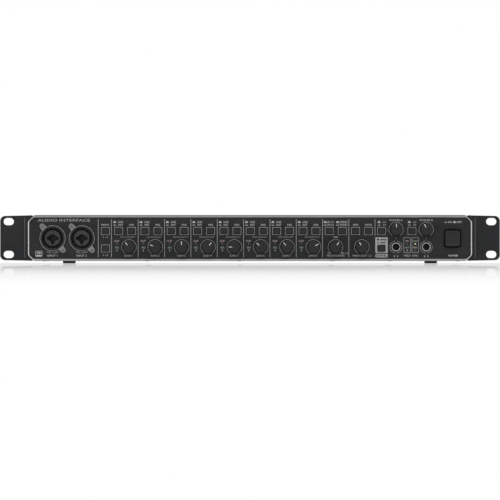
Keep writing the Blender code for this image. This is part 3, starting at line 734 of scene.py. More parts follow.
def bezel():
    """A ring swept round the face: a rounded outer edge, a flat rim and a small inner chamfer."""
    proud, back = depths("front_bezel")
    profile = [(0, back), (0, proud + 0.9), (0.05, proud + 0.5), (0.15, proud + 0.22), (0.3, proud + 0.05),
               (0.42, proud), (0.82, proud), (0.95, proud + 0.1), (1, proud + 0.35), (1, back)]
    sections = [(bezel_outline(inset), d) for inset, d in profile]
    piece("front_bezel_trim", [loft(sections, closed=True)], SILVER, replaced=["front_bezel"])


def power_hole(cx, cz):
    """A square hole whose top and bottom edges bow outwards."""
    w, h, bow = 8.3, 8.1, 1.0
    top = [(w * (1 - i / 8), h + bow * (1 - (1 - i / 8) ** 2)) for i in range(17)]
    return [(cx + x, cz + z) for x, z in top + [(-x, -z) for x, z in top]]


def face_panel():
    """The painted panel, with a hole for each control, socket and lamp."""
    loops = [bezel_outline(1, 0.3), power_hole(*middle("power_button"))]
    loops += [rounded(*BUTTON_HOLE, 0.5, *middle(name), steps=3) for name in BUTTONS]
    loops += [circle(3.7, *pivot(name), 32) for name in KNOBS]
    loops += [circle(SOCKET_HOLE, *middle(name), 64) for name in INPUT_SOCKETS]
    loops += [circle(4.9, *middle(name), 48) for name in PHONES_SOCKETS]
    loops += [circle(1.25, x, z, 20) for x in [*LED_XS, *STATUS_LED_XS] for z in (CLIP_Z, SIGNAL_Z)]
    solid = plate(loops, *depths("face_panel"), 0.12)
    piece("face_panel_painted", [solid], PAINT, replaced=["face_panel"])


# Controls


def knob_mesh(tip):
    """A fluted knob: a shallow dish in front, a rounded rim and a tapered side."""
    profile = [(0, tip + 0.25), (2.4, tip + 0.22), (4.0, tip + 0.12), (4.7, tip), (5.0, tip + 0.04),
               (5.25, tip + 0.2), (5.4, tip + 0.5, 0.3), (5.45, tip + 0.9, 1), (5.75, -3.0, 1),
               (5.82, -2.4, 0.3), (5.9, -2.0), (6.0, -1.6), (6.0, -1.0), (5.8, -0.8), (3.0, -0.8),
               (3.0, 11.5), (0, 11.5)]
    return lathe(profile, 96, flutes=24, flute_depth=0.28)


def pointer_mesh(tip):
    """A white line from near the middle to the rim, as its side view given a width."""
    side = [(tip - 0.1, 2.1), (tip - 0.1, 4.9), (tip - 0.02, 5.15), (tip + 0.2, 5.3), (tip + 0.6, 5.3),
            (tip + 0.6, 2.1)]
    return moved(loft([(side, -0.27), (side, 0.27)]), matrix=SIDEWAYS)


def knobs():
    for name in KNOBS:
        tip, _ = depths(name)
        at = front(*pivot(name), -sum(JOINTS[name]["range_deg"]) / 2)
        piece(name + "_grip", [knob_mesh(tip)], TOUCH, at, name, [name])
        piece(name + "_pointer", [pointer_mesh(tip)], WHITE, at, name)


def cap(name, size, corner, back, catch, edge, dish):
    """A button: a dished cap with soft edges, which ends in a wider catch, and its stem."""
    tip, stem_back = depths(name)
    width, height = size
    outline = [(0, back), (0, tip + edge), (edge * 0.3, tip + edge * 0.35), (edge, tip),
               (edge * 2.2, tip + dish * 0.6), (min(size) * 0.3, tip + dish)]
    sections = [(rounded(width - 2 * inset, height - 2 * inset, max(corner - inset, 0.12)), d)
                for inset, d in outline]
    base = block((-width / 2 - catch, width / 2 + catch), (back, back + 1.0),
                 (-height / 2 - catch, height / 2 + catch), 0.15)
    stem = block((-width / 4, width / 4), (back + 1.0, stem_back), (-height / 4, height / 4), 0.1)
    at = front(*middle(name))
    piece(name + "_cap", [loft(sections), base, stem], PLASTIC, at, name, [name])


def buttons():
    for name in BUTTONS:
        cap(name, BUTTON_SIZE, corner=0.5, back=1.8, catch=0.8, edge=0.45, dish=0.12)
    cap("power_button", POWER_SIZE, corner=1.0, back=4.5, catch=1.8, edge=0.5, dish=0.5)


# Front sockets


def lobed(core, lobe, reach, turns, steps=96):
    """The outline of a round hole with smaller round holes on its rim."""
    loop = []
    for i in range(steps):
        turn = 2 * math.pi * i / steps
        radius = core
        for other in turns:
            away = (turn - math.radians(other) + math.pi) % (2 * math.pi) - math.pi
            across = reach * math.sin(away)
            if abs(away) < math.pi / 2 and abs(across) < lobe:
                radius = max(radius, reach * math.cos(away) + math.sqrt(lobe ** 2 - across ** 2))
        loop.append((radius * math.cos(turn), radius * math.sin(turn)))
    return loop


def combo_core(face, back):
    """The round core of a combination socket: a jack's bore with the three pins' holes on its rim."""
    hole = lobed(3.75, 1.5, 4.3, (0, 180, 270))
    return joined([plate([circle(7.6, facets=64), hole], face, face + 12, 0.12),
                   ring(3.7, 7.55, face + 11.9, back)])


def screw_mesh(radius=1.7, height=0.7):
    """A pan head with a cross recess."""
    head = lathe([(0, -height), (radius * 0.55, -height * 0.94), (radius * 0.85, -height * 0.66),
                  (radius, -height * 0.2), (radius, 0.05), (0, 0.05)], 32)
    arm = radius * 0.58
    across, tall = (-arm, arm), (-0.2, 0.2)
    for xs, zs, share in ((across, tall, 0.35), (tall, across, 0.36)):
        head = boolean(head, block(xs, (-height - 1, -height * share), zs), "DIFFERENCE")
    return head


def flange_outline():
    """A round flange with a lug at each screw."""
    loop = []
    half = math.degrees(math.asin(LUG_RADIUS / FLANGE_RADIUS))
    for x, z in LUGS:
        aim = math.degrees(math.atan2(z, x))
        loop += arc(LUG_RADIUS, aim - 90, aim + 90, 14, x, z)
        loop += arc(FLANGE_RADIUS, aim + half, aim + 180 - half, 36)
    return loop


def lug_outline(x, z):
    """One lug, which widens a little from its screw to the flange's rim."""
    aim = math.degrees(math.atan2(z, x))
    inner = FLANGE_RADIUS - 0.7
    half = math.degrees(math.asin((LUG_RADIUS + 0.5) / inner))
    return arc(LUG_RADIUS, aim - 75, aim + 75, 14, x, z) + arc(inner, aim + half, aim - half, 8)


def input_sockets():
    for name in INPUT_SOCKETS:
        face, back = depths(name)
        at = front(*middle(name))
        flange = plate([flange_outline(), circle(11.2, facets=64)], face + 0.3, -0.05, 0.2)
        collar = lathe([(11.5, -0.1), (11.5, face + 0.25), (11.3, face), (10.5, face), (10.1, face + 0.35),
                        (10.0, face + 0.8), (10.0, back - 3), (11.5, back - 3)], 64)
        lugs = [plate([lug_outline(*lug)], face + 0.05, -0.35, 0.12) for lug in LUGS]
        # The pale band round the flange's rim is a painted highlight of its chamfered edge, printed in the
        # pale ink.
        rim = plate([band(12.25, 0.36, start, start + 146, steps=64) for start in (-34, 146)],
                    face + 0.22, face + 0.4)
        piece(name + "_shell", [flange, collar], SOCKET_PLASTIC, at, replaced=[name])
        piece(name + "_core", [combo_core(face + 0.8, back - 4)], CORE, at)
        piece(name + "_groove", [ring(7.55, 10.1, 13, 14)], GROOVE, at)
        piece(name + "_contact", [ring(0, 7.5, back - 5, back - 4.2)], CONTACT, at)
        piece(name + "_lugs", lugs, LUG, at)
        screws = copies([screw_mesh(1.7, 0.75)], LUGS, face + 0.1)
        piece(name + "_screws", screws, LUG_SCREW, at)
        piece(name + "_rim", [rim], INK, at)


def phones_sockets():
    for name in PHONES_SOCKETS:
        tip, back = depths(name)
        at = front(*middle(name))
        nose = lathe([(3.3, tip + 0.6), (3.35, tip + 0.2), (3.55, tip), (4.2, tip), (4.35, tip + 0.2),
                      (4.4, tip + 0.6), (4.4, 5.0), (3.3, 5.0)], 64)
        collar = lathe([(4.42, tip + 0.75), (4.6, tip + 0.9), (4.6, 4.9), (4.42, 4.9)], 64)
        lining = lathe([(3.28, tip + 0.65), (3.28, 20), (3.05, 20), (3.05, tip + 1.4)], 48)
        body = plate([rounded(12, 13, 0.8), circle(3.3)], 5, back - 1, 0.2)
        end = plate([rounded(12, 13, 0.8)], back - 1.2, back, 0.2)
        piece(name + "_nose", [nose], NOSE, at)
        piece(name + "_contact", [ring(0, 3.1, 11, 11.6, 32)], GROOVE, at)
        piece(name + "_body", [lining, collar, body, end], DEEP_PLASTIC, at, replaced=[name])


def lens_mesh(radius=1.1, proud=0.4):
    return lathe([(0, -proud), (radius * 0.5, -proud * 0.87), (radius * 0.85, -proud * 0.5),
                  (radius, -0.05), (radius, 3.2), (0, 3.2)], 24)


def light_guide():
    """A clear comb behind the face, with a tooth to each channel's lamps."""
    bar = block((LED_XS[0] - 1.8, LED_XS[-1] + 1.8), (3.2, 5.1), (MID_Z - 3.4, MID_Z - 0.6), 0.2)
    teeth = [block((x - 1.6, x + 1.6), (3.25, 5.0), (SIGNAL_Z - 1.8, MID_Z - 3.0), 0.2) for x in LED_XS]
    piece("light_guide_comb", [bar, *teeth], CLEAR, replaced=["channel_light_guide"])


def lamps():
    """Two lamps on each channel and four status lamps, with the chips that show through some of them."""
    red = lens("red_lens", (0.028, 0.009, 0.008), (0.042, 0.013, 0.011))
    green = lens("green_lens", (0.012, 0.042, 0.020), (0.020, 0.060, 0.028))
    amber = lens("amber_lens", (0.050, 0.050, 0.015), (0.080, 0.080, 0.025))
    chip = lens("green_chip", (0.20, 0.26, 0.21), (0.28, 0.35, 0.29), 0.10)
    lit = lens("lit_chip", (0.62, 0.62, 0.38), (0.80, 0.80, 0.55), 0.35)
    left, right = STATUS_LED_XS
    signals = [(x, SIGNAL_Z) for x in LED_XS]
    for name, places, look in (("clip_lenses", [(x, CLIP_Z) for x in LED_XS], red),
                               ("signal_lenses", signals, green),
                               ("status_lens_1", [(left, CLIP_Z)], red),
                               ("status_lens_2", [(left, SIGNAL_Z)], green),
                               ("status_lens_3", [(right, CLIP_Z)], amber),
                               ("status_lens_4", [(right, SIGNAL_Z)], red)):
        piece(name, copies([lens_mesh()], places), look)
    chips = copies([lens_mesh(0.5, 0.2)], [*signals, (left, SIGNAL_Z)], -0.3)
    piece("signal_chips", chips, chip)
    flat = plate([stadium(1.5, 0.8)], -0.5, 0.4, 0.12)
    piece("status_chip", [moved(flat, right, 0, CLIP_Z)], lit)


# Printing on the face


class Printing:
    """One piece of printing, by default on the face, gathered from outlines to fill and from words."""

    def __init__(self, name, ink, at=None):
        self.name = name
        self.ink = ink
        self.at = at
        self.outlines = []
        self.letters = []

    def say(self, words, x, z, width, height=1.9, weight=0.03):
        self.letters.append(lettering(words, x, z, width, height, weight))

    def finish(self):
        filled = [printed(self.outlines)] if self.outlines else []
        piece(self.name, filled + self.letters, self.ink, self.at)


LINES = Printing("face_lines", INK)
SYMBOLS = Printing("face_symbols", BRIGHT_INK)
DIM_LINES = Printing("face_dim_lines", DIM_INK)
WORDS = Printing("face_words", INK)
RED_WORDS = Printing("face_red_words", RED_INK)
GREEN_WORDS = Printing("face_green_words", GREEN_INK)


def hat(x, z, brim, crown, low, middle_z, top):
    """A narrow block on a wide one, given as half widths and heights from Z."""
    right = [(brim, low), (brim, middle_z), (crown, middle_z), (crown, top)]
    return [(x + dx, z + dz) for dx, dz in mirrored(right)]


def raised_icon(x, z, size=1.0):
    """A pushed-out button in section: a low base with a block on it."""
    return hat(x, z, 1.5 * size, 1.05 * size, -0.9 * size, -0.35 * size, 0.9 * size)


def pressed_icon(x, z, size=1.0):
    """A pushed-in button in section."""
    return hat(x, z, 1.5 * size, 0.9 * size, -0.7 * size, -0.2 * size, 0.2 * size)


def frame_lines(width, height, cx, cz, line=LINE, corner=0.6):
    return [rounded(width, height, corner, cx, cz, 3),
            rounded(width - 2 * line, height - 2 * line, max(corner - line, 0.1), cx, cz, 3)]


def switch_label(icon_x, x, width, weight, raised, pressed):
    """A button's two states, out and in: a symbol for each, and its word beside it."""
    SYMBOLS.outlines.append(raised_icon(icon_x, ICON_Z))
    LINES.outlines.append(pressed_icon(icon_x, LABEL_Z))
    WORDS.say(raised, x, ICON_Z, width, 1.9, weight)
    WORDS.say(pressed, x, LABEL_Z, width, 1.9, weight)


def dividers():
    """Upright lines between the columns."""
    last = COLUMN_XS[-1] + 0.3
    xs = [COLUMN_XS[0] - PITCH / 2, COLUMN_XS[0], *[x + 0.4 for x in COLUMN_XS[1:]]]
    xs += [last + PITCH, last + 2 * PITCH]
    middle_z = (DIVIDER_TOP + DIVIDER_LOW) / 2
    LINES.outlines += [rectangle(LINE, DIVIDER_TOP - DIVIDER_LOW, x, middle_z) for x in xs]
    LINES.outlines.append(rectangle(LINE, 16.0, COLUMN_XS[-1] + 3 * PITCH + 0.1, DIVIDER_TOP - 8.0))


def control_outlines():
    """A frame round each button, and an arc round each knob."""
    for name in BUTTONS:
        if name != "digital_button":
            LINES.outlines += frame_lines(8.3, 7.5, *middle(name))
    for name in KNOBS:
        LINES.outlines.append(band(6.95 if "phones" in name else 7.12, 0.38, -58, 238, *pivot(name), 56))


def channel_legend():
    for i, left in enumerate(COLUMN_XS):
        knob_x, _ = pivot(f"gain_knob_{i + 1}")
        pad_x, _ = middle(f"pad_button_{i + 1}")
        switch_label(left + 3.2, left + 8.9, 4.7, 0.05, "LINE", "INST")
        WORDS.say("PAD", pad_x, LABEL_Z, 4.6, 1.8, 0.05)
        WORDS.say("MIC/LINE/INST", knob_x - 1.1, ARC_LABEL_Z, 14.3, 1.4, -0.01)
        WORDS.say(f"GAIN {i + 1}", knob_x - 0.4, FOOT_Z, 8.2)
        RED_WORDS.say("CLIP", left + LED_DX - 0.2, CLIP_Z + 2.85, 4.9, 1.8, 0.05)
        GREEN_WORDS.say("SIG", left + LED_DX, SIGNAL_Z + 2.8, 3.7, 1.8, 0.05)


def column_legend():
    """The words on the phantom power, monitor and main columns."""
    x, _ = middle("phantom_button_1_4")
    WORDS.say("PHANTOM", x - 0.3, LABEL_Z, 7.5, 1.7, 0.05)
    WORDS.say("1 - 4", x, ARC_LABEL_Z, 4.6, 1.6)
    WORDS.say("5 - 8", x, FOOT_Z + 0.4, 4.6, 1.6)
    for dx, width, raised, pressed in ((2.9, 6.0, "IN 1-2", "IN 3-4"), (14.9, 7.3, "STEREO", "MONO")):
        x = COLUMN_XS[-1] + PITCH + dx
        switch_label(x, x + 2.2 + width / 2, width, 0.06, raised, pressed)
    x, _ = pivot("mix_knob")
    WORDS.say("MIX", x + 0.4, ARC_LABEL_Z, 4.3, 1.6, 0.05)
    WORDS.say("IN", x - 6.4, MID_Z - 14.6, 2.2, 1.5)
    WORDS.say("PB 1-2", x + 8.8, MID_Z - 14.6, 6.6, 1.5, 0.04)
    WORDS.say("MONITORING", x + 0.3, FOOT_Z, 17.0)
    WORDS.say("DIM", middle("dim_button")[0], LABEL_Z, 4.9, 1.7, 0.05)
    WORDS.say("MUTE", middle("mute_button")[0], LABEL_Z, 6.6, 1.7, 0.05)
    WORDS.say("MAIN OUT 1-2", pivot("main_out_knob")[0], FOOT_Z, 17.8)


def phones_legend():
    """Each headphone output's button, knob and socket, joined by lines, over a headphone symbol."""
    cushion = printed([rounded(0.85, 1.7, 0.3, steps=3)])
    for letter in "ab":
        button_x, button_z = middle(f"phones_{letter}_button")
        x, z = middle(f"phones_socket_{letter}")
        knob_x, knob_z = pivot(f"phones_{letter}_knob")
        switch_label(button_x - 2.5, button_x + 2.7, 2.9, 0.04, "1-2", "3-4")
        WORDS.say(f"PHONES {letter.upper()}", knob_x, MID_Z + 17.2, 12.6, 1.9, 0.05)
        DIM_LINES.outlines.append(stroke(button_x + 4.15, button_z, knob_x - 7.5, button_z, 0.4))
        DIM_LINES.outlines.append(stroke(knob_x, knob_z - 7.2, knob_x, z + 6.0, 0.4))
        DIM_LINES.outlines.append(band(1.6, 0.2, 15, 165, x, FOOT_Z - 0.4, 20))
        LINES.outlines += [band(5.75, 0.4, start, start + 160, x, z) for start in (-80, 100)]
        WORDS.letters += copies([cushion], [(x - 1.6, FOOT_Z - 0.6), (x + 1.6, FOOT_Z - 0.6)])


def status_legend():
    midi_x, sync_x = STATUS_LED_XS
    for x in STATUS_LED_XS:
        LINES.outlines += frame_lines(6.8, 14.8, x, MID_Z - 6.8, 0.38, 0.6)
    WORDS.say("MIDI", midi_x, FOOT_Z, 6.2)
    WORDS.say("SYNC", sync_x, FOOT_Z, 5.6)
    RED_WORDS.say("IN", midi_x, CLIP_Z + 2.85, 2.6, 1.6, 0.05)
    GREEN_WORDS.say("OUT", midi_x, SIGNAL_Z + 2.85, 4.2, 1.6, 0.05)
    GREEN_WORDS.say("LOCK", sync_x, CLIP_Z + 2.85, 5.2, 1.6, 0.05)
    RED_WORDS.say("ERR", sync_x, SIGNAL_Z + 2.85, 4.2, 1.6, 0.05)


def input_and_power_legend():
    for i, name in enumerate(INPUT_SOCKETS):
        x, _ = middle(name)
        WORDS.say(f"INPUT {i + 1}", x - 0.2, FOOT_Z, 9.7, 1.9, 0.04)
        WORDS.letters.append(arched(lettering("MIC / LINE", 0, 0, 11.2, 1.15, 0.02), x, MID_Z, 14.2))
    x, _ = middle("power_button")
    LINES.outlines.append(pressed_icon(x - 6.6, ICON_Z))
    SYMBOLS.outlines.append(raised_icon(x + 1.9, ICON_Z))
    SYMBOLS.say("ON", x - 2.7, ICON_Z, 3.6, 1.8)
    SYMBOLS.say("OFF", x + 6.45, ICON_Z, 4.8, 1.8)
    SYMBOLS.say("POWER", x + 0.7, FOOT_Z, 9.2, 1.9, 0.04)


def legend():
    for gather in (dividers, control_outlines, channel_legend, column_legend, phones_legend, status_legend,
                   input_and_power_legend):
        gather()
    for printing in (LINES, SYMBOLS, DIM_LINES, WORDS, RED_WORDS, GREEN_WORDS):
        printing.finish()


def title_and_badge():
    """A generic title across the two inputs, and a badge with a sound wave and a solid foot."""
    x = sum(middle(name)[0] for name in INPUT_SOCKETS) / 2 - 3.15
    title = Printing("face_title", INK)
    title.say("AUDIO INTERFACE", x, MID_Z + 17.15, 50.4, 2.6, 0.01)
    title.finish()
    x, z = FACE_LOW.x + 9.0, MID_Z - 15.4
    badge = Printing("face_badge", BRIGHT_INK)
    badge.outlines = frame_lines(6.8, 5.8, x, z, 0.35, 0.5)
    for i, tall in enumerate((0.8, 1.8, 2.6, 2.0, 2.9, 1.6, 1.0)):
        badge.outlines.append(rounded(0.45, tall, 0.2, x + (i - 3) * 0.8, z + 0.95, 3))
    badge.letters.append(printed([rounded(6.8, 1.9, 0.5, x, z - 1.95)]))
    badge.finish()


def digital_box():
    """A silver printed box round the digital select button, with dark words in it."""
    x, z = middle("digital_button")
    border = rounded(12.0, 15.0, 0.6, x + 0.1, MID_Z - 6.85)
    field = printed([border, rounded(7.9, 6.8, 0.4, x, z)])
    strip = printed([rounded(12.0, 3.3, 1.2, x + 0.1, FOOT_Z)])
    piece("digital_box_print", [field, strip], SILVER_INK)
    icons = plate([raised_icon(x - 3.25, z + 8.4, 0.85), pressed_icon(x - 3.25, z + 5.5, 0.85)], -PRINT, 0)
    words = [lettering("OPTICAL", x + 2.0, z + 8.3, 6.4, 1.5, 0.11),
             lettering("COAX", x + 1.6, z + 5.5, 5.4, 1.5, 0.11),
             lettering("DIGITAL", x, FOOT_Z, 10.6, 1.8, 0.07), icons]
    at = front() @ shift(d=-PRINT)
    piece("digital_box_words", words, DARK_INK, at)


# Chassis


def top_cover():
    """A folded steel cover with rounded bends, and vents cut with round ends."""
    outer, low, top = COVER_HIGH.x, COVER_LOW.z, COVER_HIGH.z
    start, end = depths("top_cover")
    bend = 1.8
    outside = [(outer, low), *arc(bend, 0, 90, 8, outer - bend, top - bend)]
    inside = [(outer - SHEET, low), *arc(bend - SHEET, 0, 90, 8, outer - bend, top - bend)]
    cover = plate([mirrored(outside) + mirrored(inside)[::-1]], start, end, 0.2)
    top_vents = [stadium(30, 2.4, s * (96 + 7.0 * i), -107, upright=True, steps=6)
                 for s in (-1, 1) for i in range(12)]
    cutters = [moved(plate(top_vents, -3, 3), z=top - SHEET / 2, matrix=UPRIGHT.inverted())]
    side_vents = plate([stadium(20, 2.4, 41.2 + 7 * i, 27, upright=True, steps=6) for i in range(11)], -3, 3)
    for side in (-1, 1):
        cutters.append(moved(side_vents.copy(), side * (outer - SHEET / 2), matrix=SIDEWAYS))
    for cutter in cutters:
        cover = boolean(cover, cutter, "DIFFERENCE")
    flange = block((3 - outer, outer - 3), (start, start + SHEET), (top - 3.6, top - SHEET), 0.2)
    piece("top_cover_steel", [cover, flange], POWDER, replaced=["top_cover"])


def rear_holes():
    """The openings for the sockets in the rear wall, in the front view."""
    holes = [circle(SOCKET_HOLE, x, REAR_Z, 64) for x in REAR_INPUT_XS]
    holes += [circle(5.7, x, z, 40) for x in LINE_OUT_XS for z in LINE_OUT_ZS]
    holes += [circle(4.6, COAX_X, z, 40) for z in DIGITAL_ZS]
    holes += [rounded(10.4, 10.4, 0.4, OPTICAL_X, z, steps=3) for z in DIGITAL_ZS]
    holes += [circle(7.9, x, REAR_Z, 48) for x in MIDI_XS]
    holes.append(rounded(12.8, 11.6, 0.4, middle("usb_socket")[0], REAR_Z, steps=3))
    wide, tall = inlet_size()
    holes.append(rounded(wide - 4.4, tall - 4.4, 0.6, middle("mains_inlet")[0], REAR_Z, steps=3))
    return holes


def bottom_tray():
    """The tray's floor, low sides, front lip and rear wall."""
    w, low, high = TRAY_HIGH.x, TRAY_LOW.z, TRAY_HIGH.z
    start, end = depths("bottom_tray")
    rim = rectangle(2 * w - 0.4, high - low - 0.1, 0, (high + low) / 2)
    wall = plate([rim, *rear_holes()], end - SHEET, end, 0.15)
    floor = block((0.1 - w, w - 0.1), (start + 0.1, end - SHEET), (low, low + SHEET), 0.25)
    sides = [block((s * w, s * (w - SHEET)), (start, end - SHEET), (low + 0.6, low + 11), 0.25)
             for s in (-1, 1)]
    lip = block((0.3 - w, w - 0.3), (start + 0.2, start + 0.2 + SHEET), (low + 0.6, low + 3.6), 0.25)
    piece("bottom_tray_steel", [wall, floor, *sides, lip], POWDER, replaced=["bottom_tray"])


def feet():
    """Round rubber feet with a recess for the screw."""
    for name in ("foot_front_left", "foot_front_right", "foot_rear_left", "foot_rear_right"):
        low, high = node_box(name)
        centre = (low + high) / 2
        tall = high.z - low.z
        wide = (high.x - low.x) / 2
        profile = [(0, 1.2), (2.6, 1.2), (2.8, 0.2), (3.2, 0), (wide - 0.9, 0), (wide - 0.4, 0.12),
                   (wide - 0.15, 0.45), (wide, tall - 0.2), (wide, tall), (0, tall)]
        at = shift(centre.x, centre.y, low.z)
        piece(name + "_rubber", [moved(lathe(profile), matrix=UPRIGHT)], RUBBER, at, replaced=[name])


# Rear sockets


def inlet_size():
    low, high = node_box("mains_inlet")
    return high.x - low.x, high.z - low.z


def rear_inputs():
    """Six combination sockets, whose square flanges sit behind the wall."""
    places = [(-x, 0) for x in REAR_INPUT_XS]
    collar = lathe([(11.6, 1.4), (11.6, -0.55), (11.35, -0.8), (10.4, -0.8), (9.95, -0.45), (9.85, 0),
                    (9.85, 21), (11.6, 21)], 64)
    flange = plate([rounded(25.4, 30, 3), circle(11.5, facets=64)], 1.5, 23, 0.2)
    board = block((-REAR_INPUT_XS[-1] - 13, -REAR_INPUT_XS[0] + 13), (23.4, 25),
                  (8 - REAR_Z, 41 - REAR_Z), 0.1)
    screws = [(x + sx * 9.5, sz * 12.0) for x, _ in places for sx, sz in ((-1, 1), (1, -1))]
    at = rear(0, REAR_Z)
    piece("rear_input_shells", copies([collar, flange, ring(0, 9.9, 20.5, 21)], places), SOCKET_PLASTIC, at,
          replaced=["rear_input_sockets"])
    piece("rear_input_cores", copies([combo_core(0.0, 18)], places), CORE, at)
    piece("rear_input_board", [board], BOARD, at)
    piece("rear_input_screws", copies([screw_mesh(1.6, 0.8)], screws), DARK_METAL, at)


def line_outputs():
    """Ten jacks: a threaded nose, a six-sided nut and a plated rim round each bore."""
    places = [(-x, z) for x in LINE_OUT_XS for z in LINE_OUT_ZS]
    thread = [(5.2 - 0.18 * (i % 2), -2.2 + 0.3 * i) for i in range(8)]
    nose = lathe([(3.3, 17), (3.3, -2.2), (3.6, -2.45), (4.9, -2.45), *thread, (5.2, 1.2), (5.2, 17)], 48)
    body = plate([rounded(13, 14, 0.8), circle(5.0)], 1.6, 24, 0.2)
    nut = plate([circle(6.9, facets=6), circle(5.25)], -1.5, -0.02, 0.2)
    rim = lathe([(3.35, -2.3), (3.5, -2.5), (4.2, -2.5), (4.3, -2.35), (4.3, -2.2), (3.35, -2.2)], 48)
    board = block((-LINE_OUT_XS[-1] - 7, -LINE_OUT_XS[0] + 7), (23.4, 25), (6.5, 42.5), 0.1)
    noses = copies([nose, body], places)
    piece("line_output_noses", [*noses, board], SOCKET_PLASTIC, rear(), replaced=["line_output_sockets"])
    piece("line_output_nuts", copies([nut], places), DARK_METAL, rear())
    piece("line_output_rims", copies([rim], places), PLATED, rear())


def digital_sockets():
    """Coaxial, optical and MIDI sockets."""
    coaxial = [(-COAX_X, z) for z in DIGITAL_ZS]
    optical = [(-OPTICAL_X, z) for z in DIGITAL_ZS]
    midi = [(-x, REAR_Z) for x in MIDI_XS]
    coaxial_body = plate([rounded(12, 12, 0.6)], 1.5, 20, 0.2)
    optical_body = plate([rounded(9.8, 9.8, 0.6), rounded(6.4, 5.6, 1.4)], -0.6, 18, 0.15)
    shutter = plate([rounded(6.3, 5.5, 1.3)], 0.6, 1.2, 0.1)
    pins = [circle(0.75, *arc(4.3, turn, turn, 1)[0], 16) for turn in (0, 45, 90, 135, 180)]
    midi_face = plate([circle(6.6, facets=64), rectangle(1.8, 1.4, 0, -5.5), *pins], 0.1, 3, 0.08)
    midi_body = plate([rounded(18, 19, 0.8)], 1.6, 20, 0.2)
    board = block((-MIDI_XS[-1] - 10, -COAX_X + 8), (19.4, 21), (8, 41), 0.1)
    bodies = copies([coaxial_body], coaxial) + copies([optical_body, shutter], optical)
    bodies += [*copies([midi_face, midi_body], midi), board]
    rims = copies([ring(3.2, 4.2, -2.5, 1.5, edge=0.2)], coaxial)
    rims += copies([ring(6.6, 7.4, -0.6, 1.5, 64, 0.2)], midi)
    piece("digital_socket_bodies", bodies, SOCKET_PLASTIC, rear(), replaced=["digital_sockets"])
    piece("digital_socket_shells", rims, PLATED, rear())
    piece("coaxial_insulators", copies([ring(1.5, 3.2, -2.2, 1.5)], coaxial), ORANGE, rear())
    piece("coaxial_contacts", copies([ring(1.1, 1.5, -1.9, 1.5, 32)], coaxial), PLATED, rear())


def usb_socket():
    """A square shell with two clipped corners round its tongue."""
    x, _ = middle("usb_socket")
    shell = mirrored([(6, -5.5), (6, 3.6), (4.2, 5.5)])
    well = mirrored([(4.4, -4.0), (4.4, 2.4), (2.9, 4.0)])
    case = plate([shell, well], -0.6, 9.5, 0.15)
    back = plate([shell], 9.4, 17, 0.15)
    tongue = block((-2.8, 2.8), (0.8, 9.5), (-1.6, 1.6), 0.2)
    contacts = [block((s - 0.45, s + 0.45), (0.9, 8), (t * 1.6, t * 1.75))
                for s in (-1.3, 1.3) for t in (-1, 1)]
    board = block((-9, 9), (16.4, 18), (8 - REAR_Z, 41 - REAR_Z), 0.1)
    at = rear(x, REAR_Z)
    piece("usb_shell", [case, back], PLATED, at, replaced=["usb_socket"])
    piece("usb_tongue", [tongue], PALE_PLASTIC, at)
    piece("usb_contacts", contacts, GOLD, at)
    piece("usb_board", [board], BOARD, at)


def mains_inlet():
    """An appliance inlet: a flange with chamfered corners, a deep well and three blades."""
    x, _ = middle("mains_inlet")
    wide, tall = inlet_size()
    shape = mirrored([(12, -8), (12, 4.5), (8.5, 8)])
    body = plate([rounded(wide - 5, tall - 5, 0.8), shape], -2.2, 14, 0.15)
    flange = plate([rounded(wide, tall, 2), rounded(wide - 5.2, tall - 5.2, 0.8)], -2.0, -0.3, 0.3)
    floor = plate([rounded(wide - 5, tall - 5, 0.8)], 13.9, 17, 0.2)
    pins = [block((px - 1, px + 1), (0.9, 14.5), (pz - 2, pz + 2), 0.35)
            for px, pz in ((-7, -2.5), (7, -2.5), (0, 3.5))]
    at = rear(x, REAR_Z)
    piece("mains_inlet_body", [body, flange, floor], SOCKET_PLASTIC, at, replaced=["mains_inlet"])
    piece("mains_inlet_pins", pins, PLATED, at)


def rear_legend():
    """Generic words over the sockets on the rear wall."""
    words = Printing("rear_words", INK, rear())
    for i, x in enumerate(REAR_INPUT_XS):
        words.say(f"INPUT {8 - i}", -x, REAR_LABEL_Z, 10.5)
    for x, first in zip(LINE_OUT_XS, range(9, 0, -2)):
        words.say(f"OUT {first}", -x, LINE_OUT_ZS[0] + 8.6, 7.4, 1.7)
        words.say(f"OUT {first + 1}", -x, LINE_OUT_ZS[1] - 8.6, 7.4, 1.7)
    for x, label, width in ((COAX_X, "COAX", 7.0), (OPTICAL_X, "OPTICAL", 10.0),
                            (MIDI_XS[0], "MIDI OUT", 12.5), (MIDI_XS[1], "MIDI IN", 10.5)):
        words.say(label, -x, REAR_LABEL_Z, width)
    words.say("USB", -middle("usb_socket")[0], REAR_Z + 10.5, 5.2)
    words.finish()


def chassis_screws():
    """Pan heads along the cover's sides, the rear wall and the floor."""
    side = [moved(screw_mesh(2.6, 1.1), s * COVER_HIGH.x, d, 9.5, Matrix.Rotation(s * math.pi / 2, 4, "Z"))
            for s in (-1, 1) for d in (22, 78, 132)]
    under = [moved(screw_mesh(2.6, 1.0), x, d, TRAY_LOW.z, UPRIGHT)
             for x in (-200, -100, -10, 80, 136, 202) for d in (36, 110)]
    back = copies([screw_mesh(2.2, 0.9)], [(-x, TRAY_HIGH.z - 3.2) for x in (-205, 40, 70, 150, 206)])
    piece("cover_screws", side, DARK_METAL)
    piece("floor_screws", under, DARK_METAL)
    piece("rear_wall_screws", back, DARK_METAL, rear())


def boards():
    """The boards keep their CAD shapes. The two that lie flat turn dark above their own surface."""
    flat = circuit_board("circuit_board", node_box("main_board")[0].z + 1.75)
    for node in ("main_board", "power_supply"):
        repaint(node, flat)
    repaint("control_board", BOARD)


# Studio


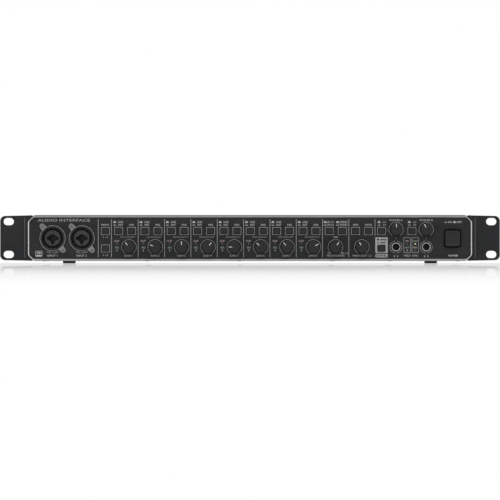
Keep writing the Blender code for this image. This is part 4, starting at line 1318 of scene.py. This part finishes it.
def light_table():
    """A white table lit from below. In front of the object its glow is dimmed as a painted shadow, and it
    mirrors the object faintly.
    """
    look = Look("light_table", None, 0.9)
    look.nodes.remove(look.shader)
    glow = look.nodes.new("ShaderNodeEmission")
    mirror = look.nodes.new("ShaderNodeBsdfGlossy")
    mirror.inputs["Roughness"].default_value = 0.01
    away = look.nodes.new("ShaderNodeVectorMath")
    away.operation = "LENGTH"
    look.links.new(look.place, away.inputs[0])
    near_shadow_and_gloss = look.math("POWER", look.grade(away.outputs["Value"], 1.0, 0.0, 0.9, 2.65), 1.8)
    near_shadow_and_gloss = look.math("MULTIPLY", near_shadow_and_gloss, look.along("Y", BEZEL_LOW.y + 160, BEZEL_LOW.y + 5))
    # Painted shadow: the table's glow dims to 0.8 in front of the object.
    look.links.new(look.blend(near_shadow_and_gloss, (1.0, 1.0, 1.0), (0.80, 0.80, 0.80)), glow.inputs["Color"])
    mix = look.nodes.new("ShaderNodeMixShader")
    look.links.new(look.math("MULTIPLY", near_shadow_and_gloss, 0.32), mix.inputs["Fac"])
    look.links.new(glow.outputs["Emission"], mix.inputs[1])
    look.links.new(mirror.outputs["BSDF"], mix.inputs[2])
    surface = look.nodes["Material Output"].inputs["Surface"]
    look.links.new(mix.outputs["Shader"], surface)
    return look.material


def studio():
    """The table, a white sky, a soft light above and the camera."""
    scene = bpy.context.scene
    scene.view_settings.view_transform = "Standard"
    world = bpy.data.worlds.new("studio")
    world.use_nodes = True
    world.node_tree.nodes["Background"].inputs["Color"].default_value = (1, 1, 1, 1)
    scene.world = world

    bpy.ops.mesh.primitive_plane_add(size=TABLE_SIZE)
    table = bpy.context.object
    table.name = "light_table"
    table.data.materials.append(light_table())

    light = bpy.data.lights.new("soft_top", "SUN")
    light.energy = 0.45
    light.angle = math.radians(60)
    linked("soft_top", light).rotation_euler = (math.radians(25), 0, 0)

    camera = linked("camera", bpy.data.cameras.new("camera"))
    ears = (RACK_LOW.y + EAR_STEP) * MM
    camera.location = (0, ears - CAMERA_DISTANCE, CAMERA_HEIGHT * MM)
    camera.rotation_euler = (math.pi / 2, 0, 0)
    camera.data.lens = camera.data.sensor_width * CAMERA_DISTANCE / (VIEW_WIDTH * MM)
    camera.data.clip_end = 100
    scene.camera = camera


for build in (rack_panel, bezel, face_panel, knobs, buttons, input_sockets, phones_sockets, light_guide,
              lamps, legend, title_and_badge, digital_box, top_cover, bottom_tray, feet, rear_inputs,
              line_outputs, digital_sockets, usb_socket, mains_inlet, rear_legend, chassis_screws, boards,
              studio):
    build()
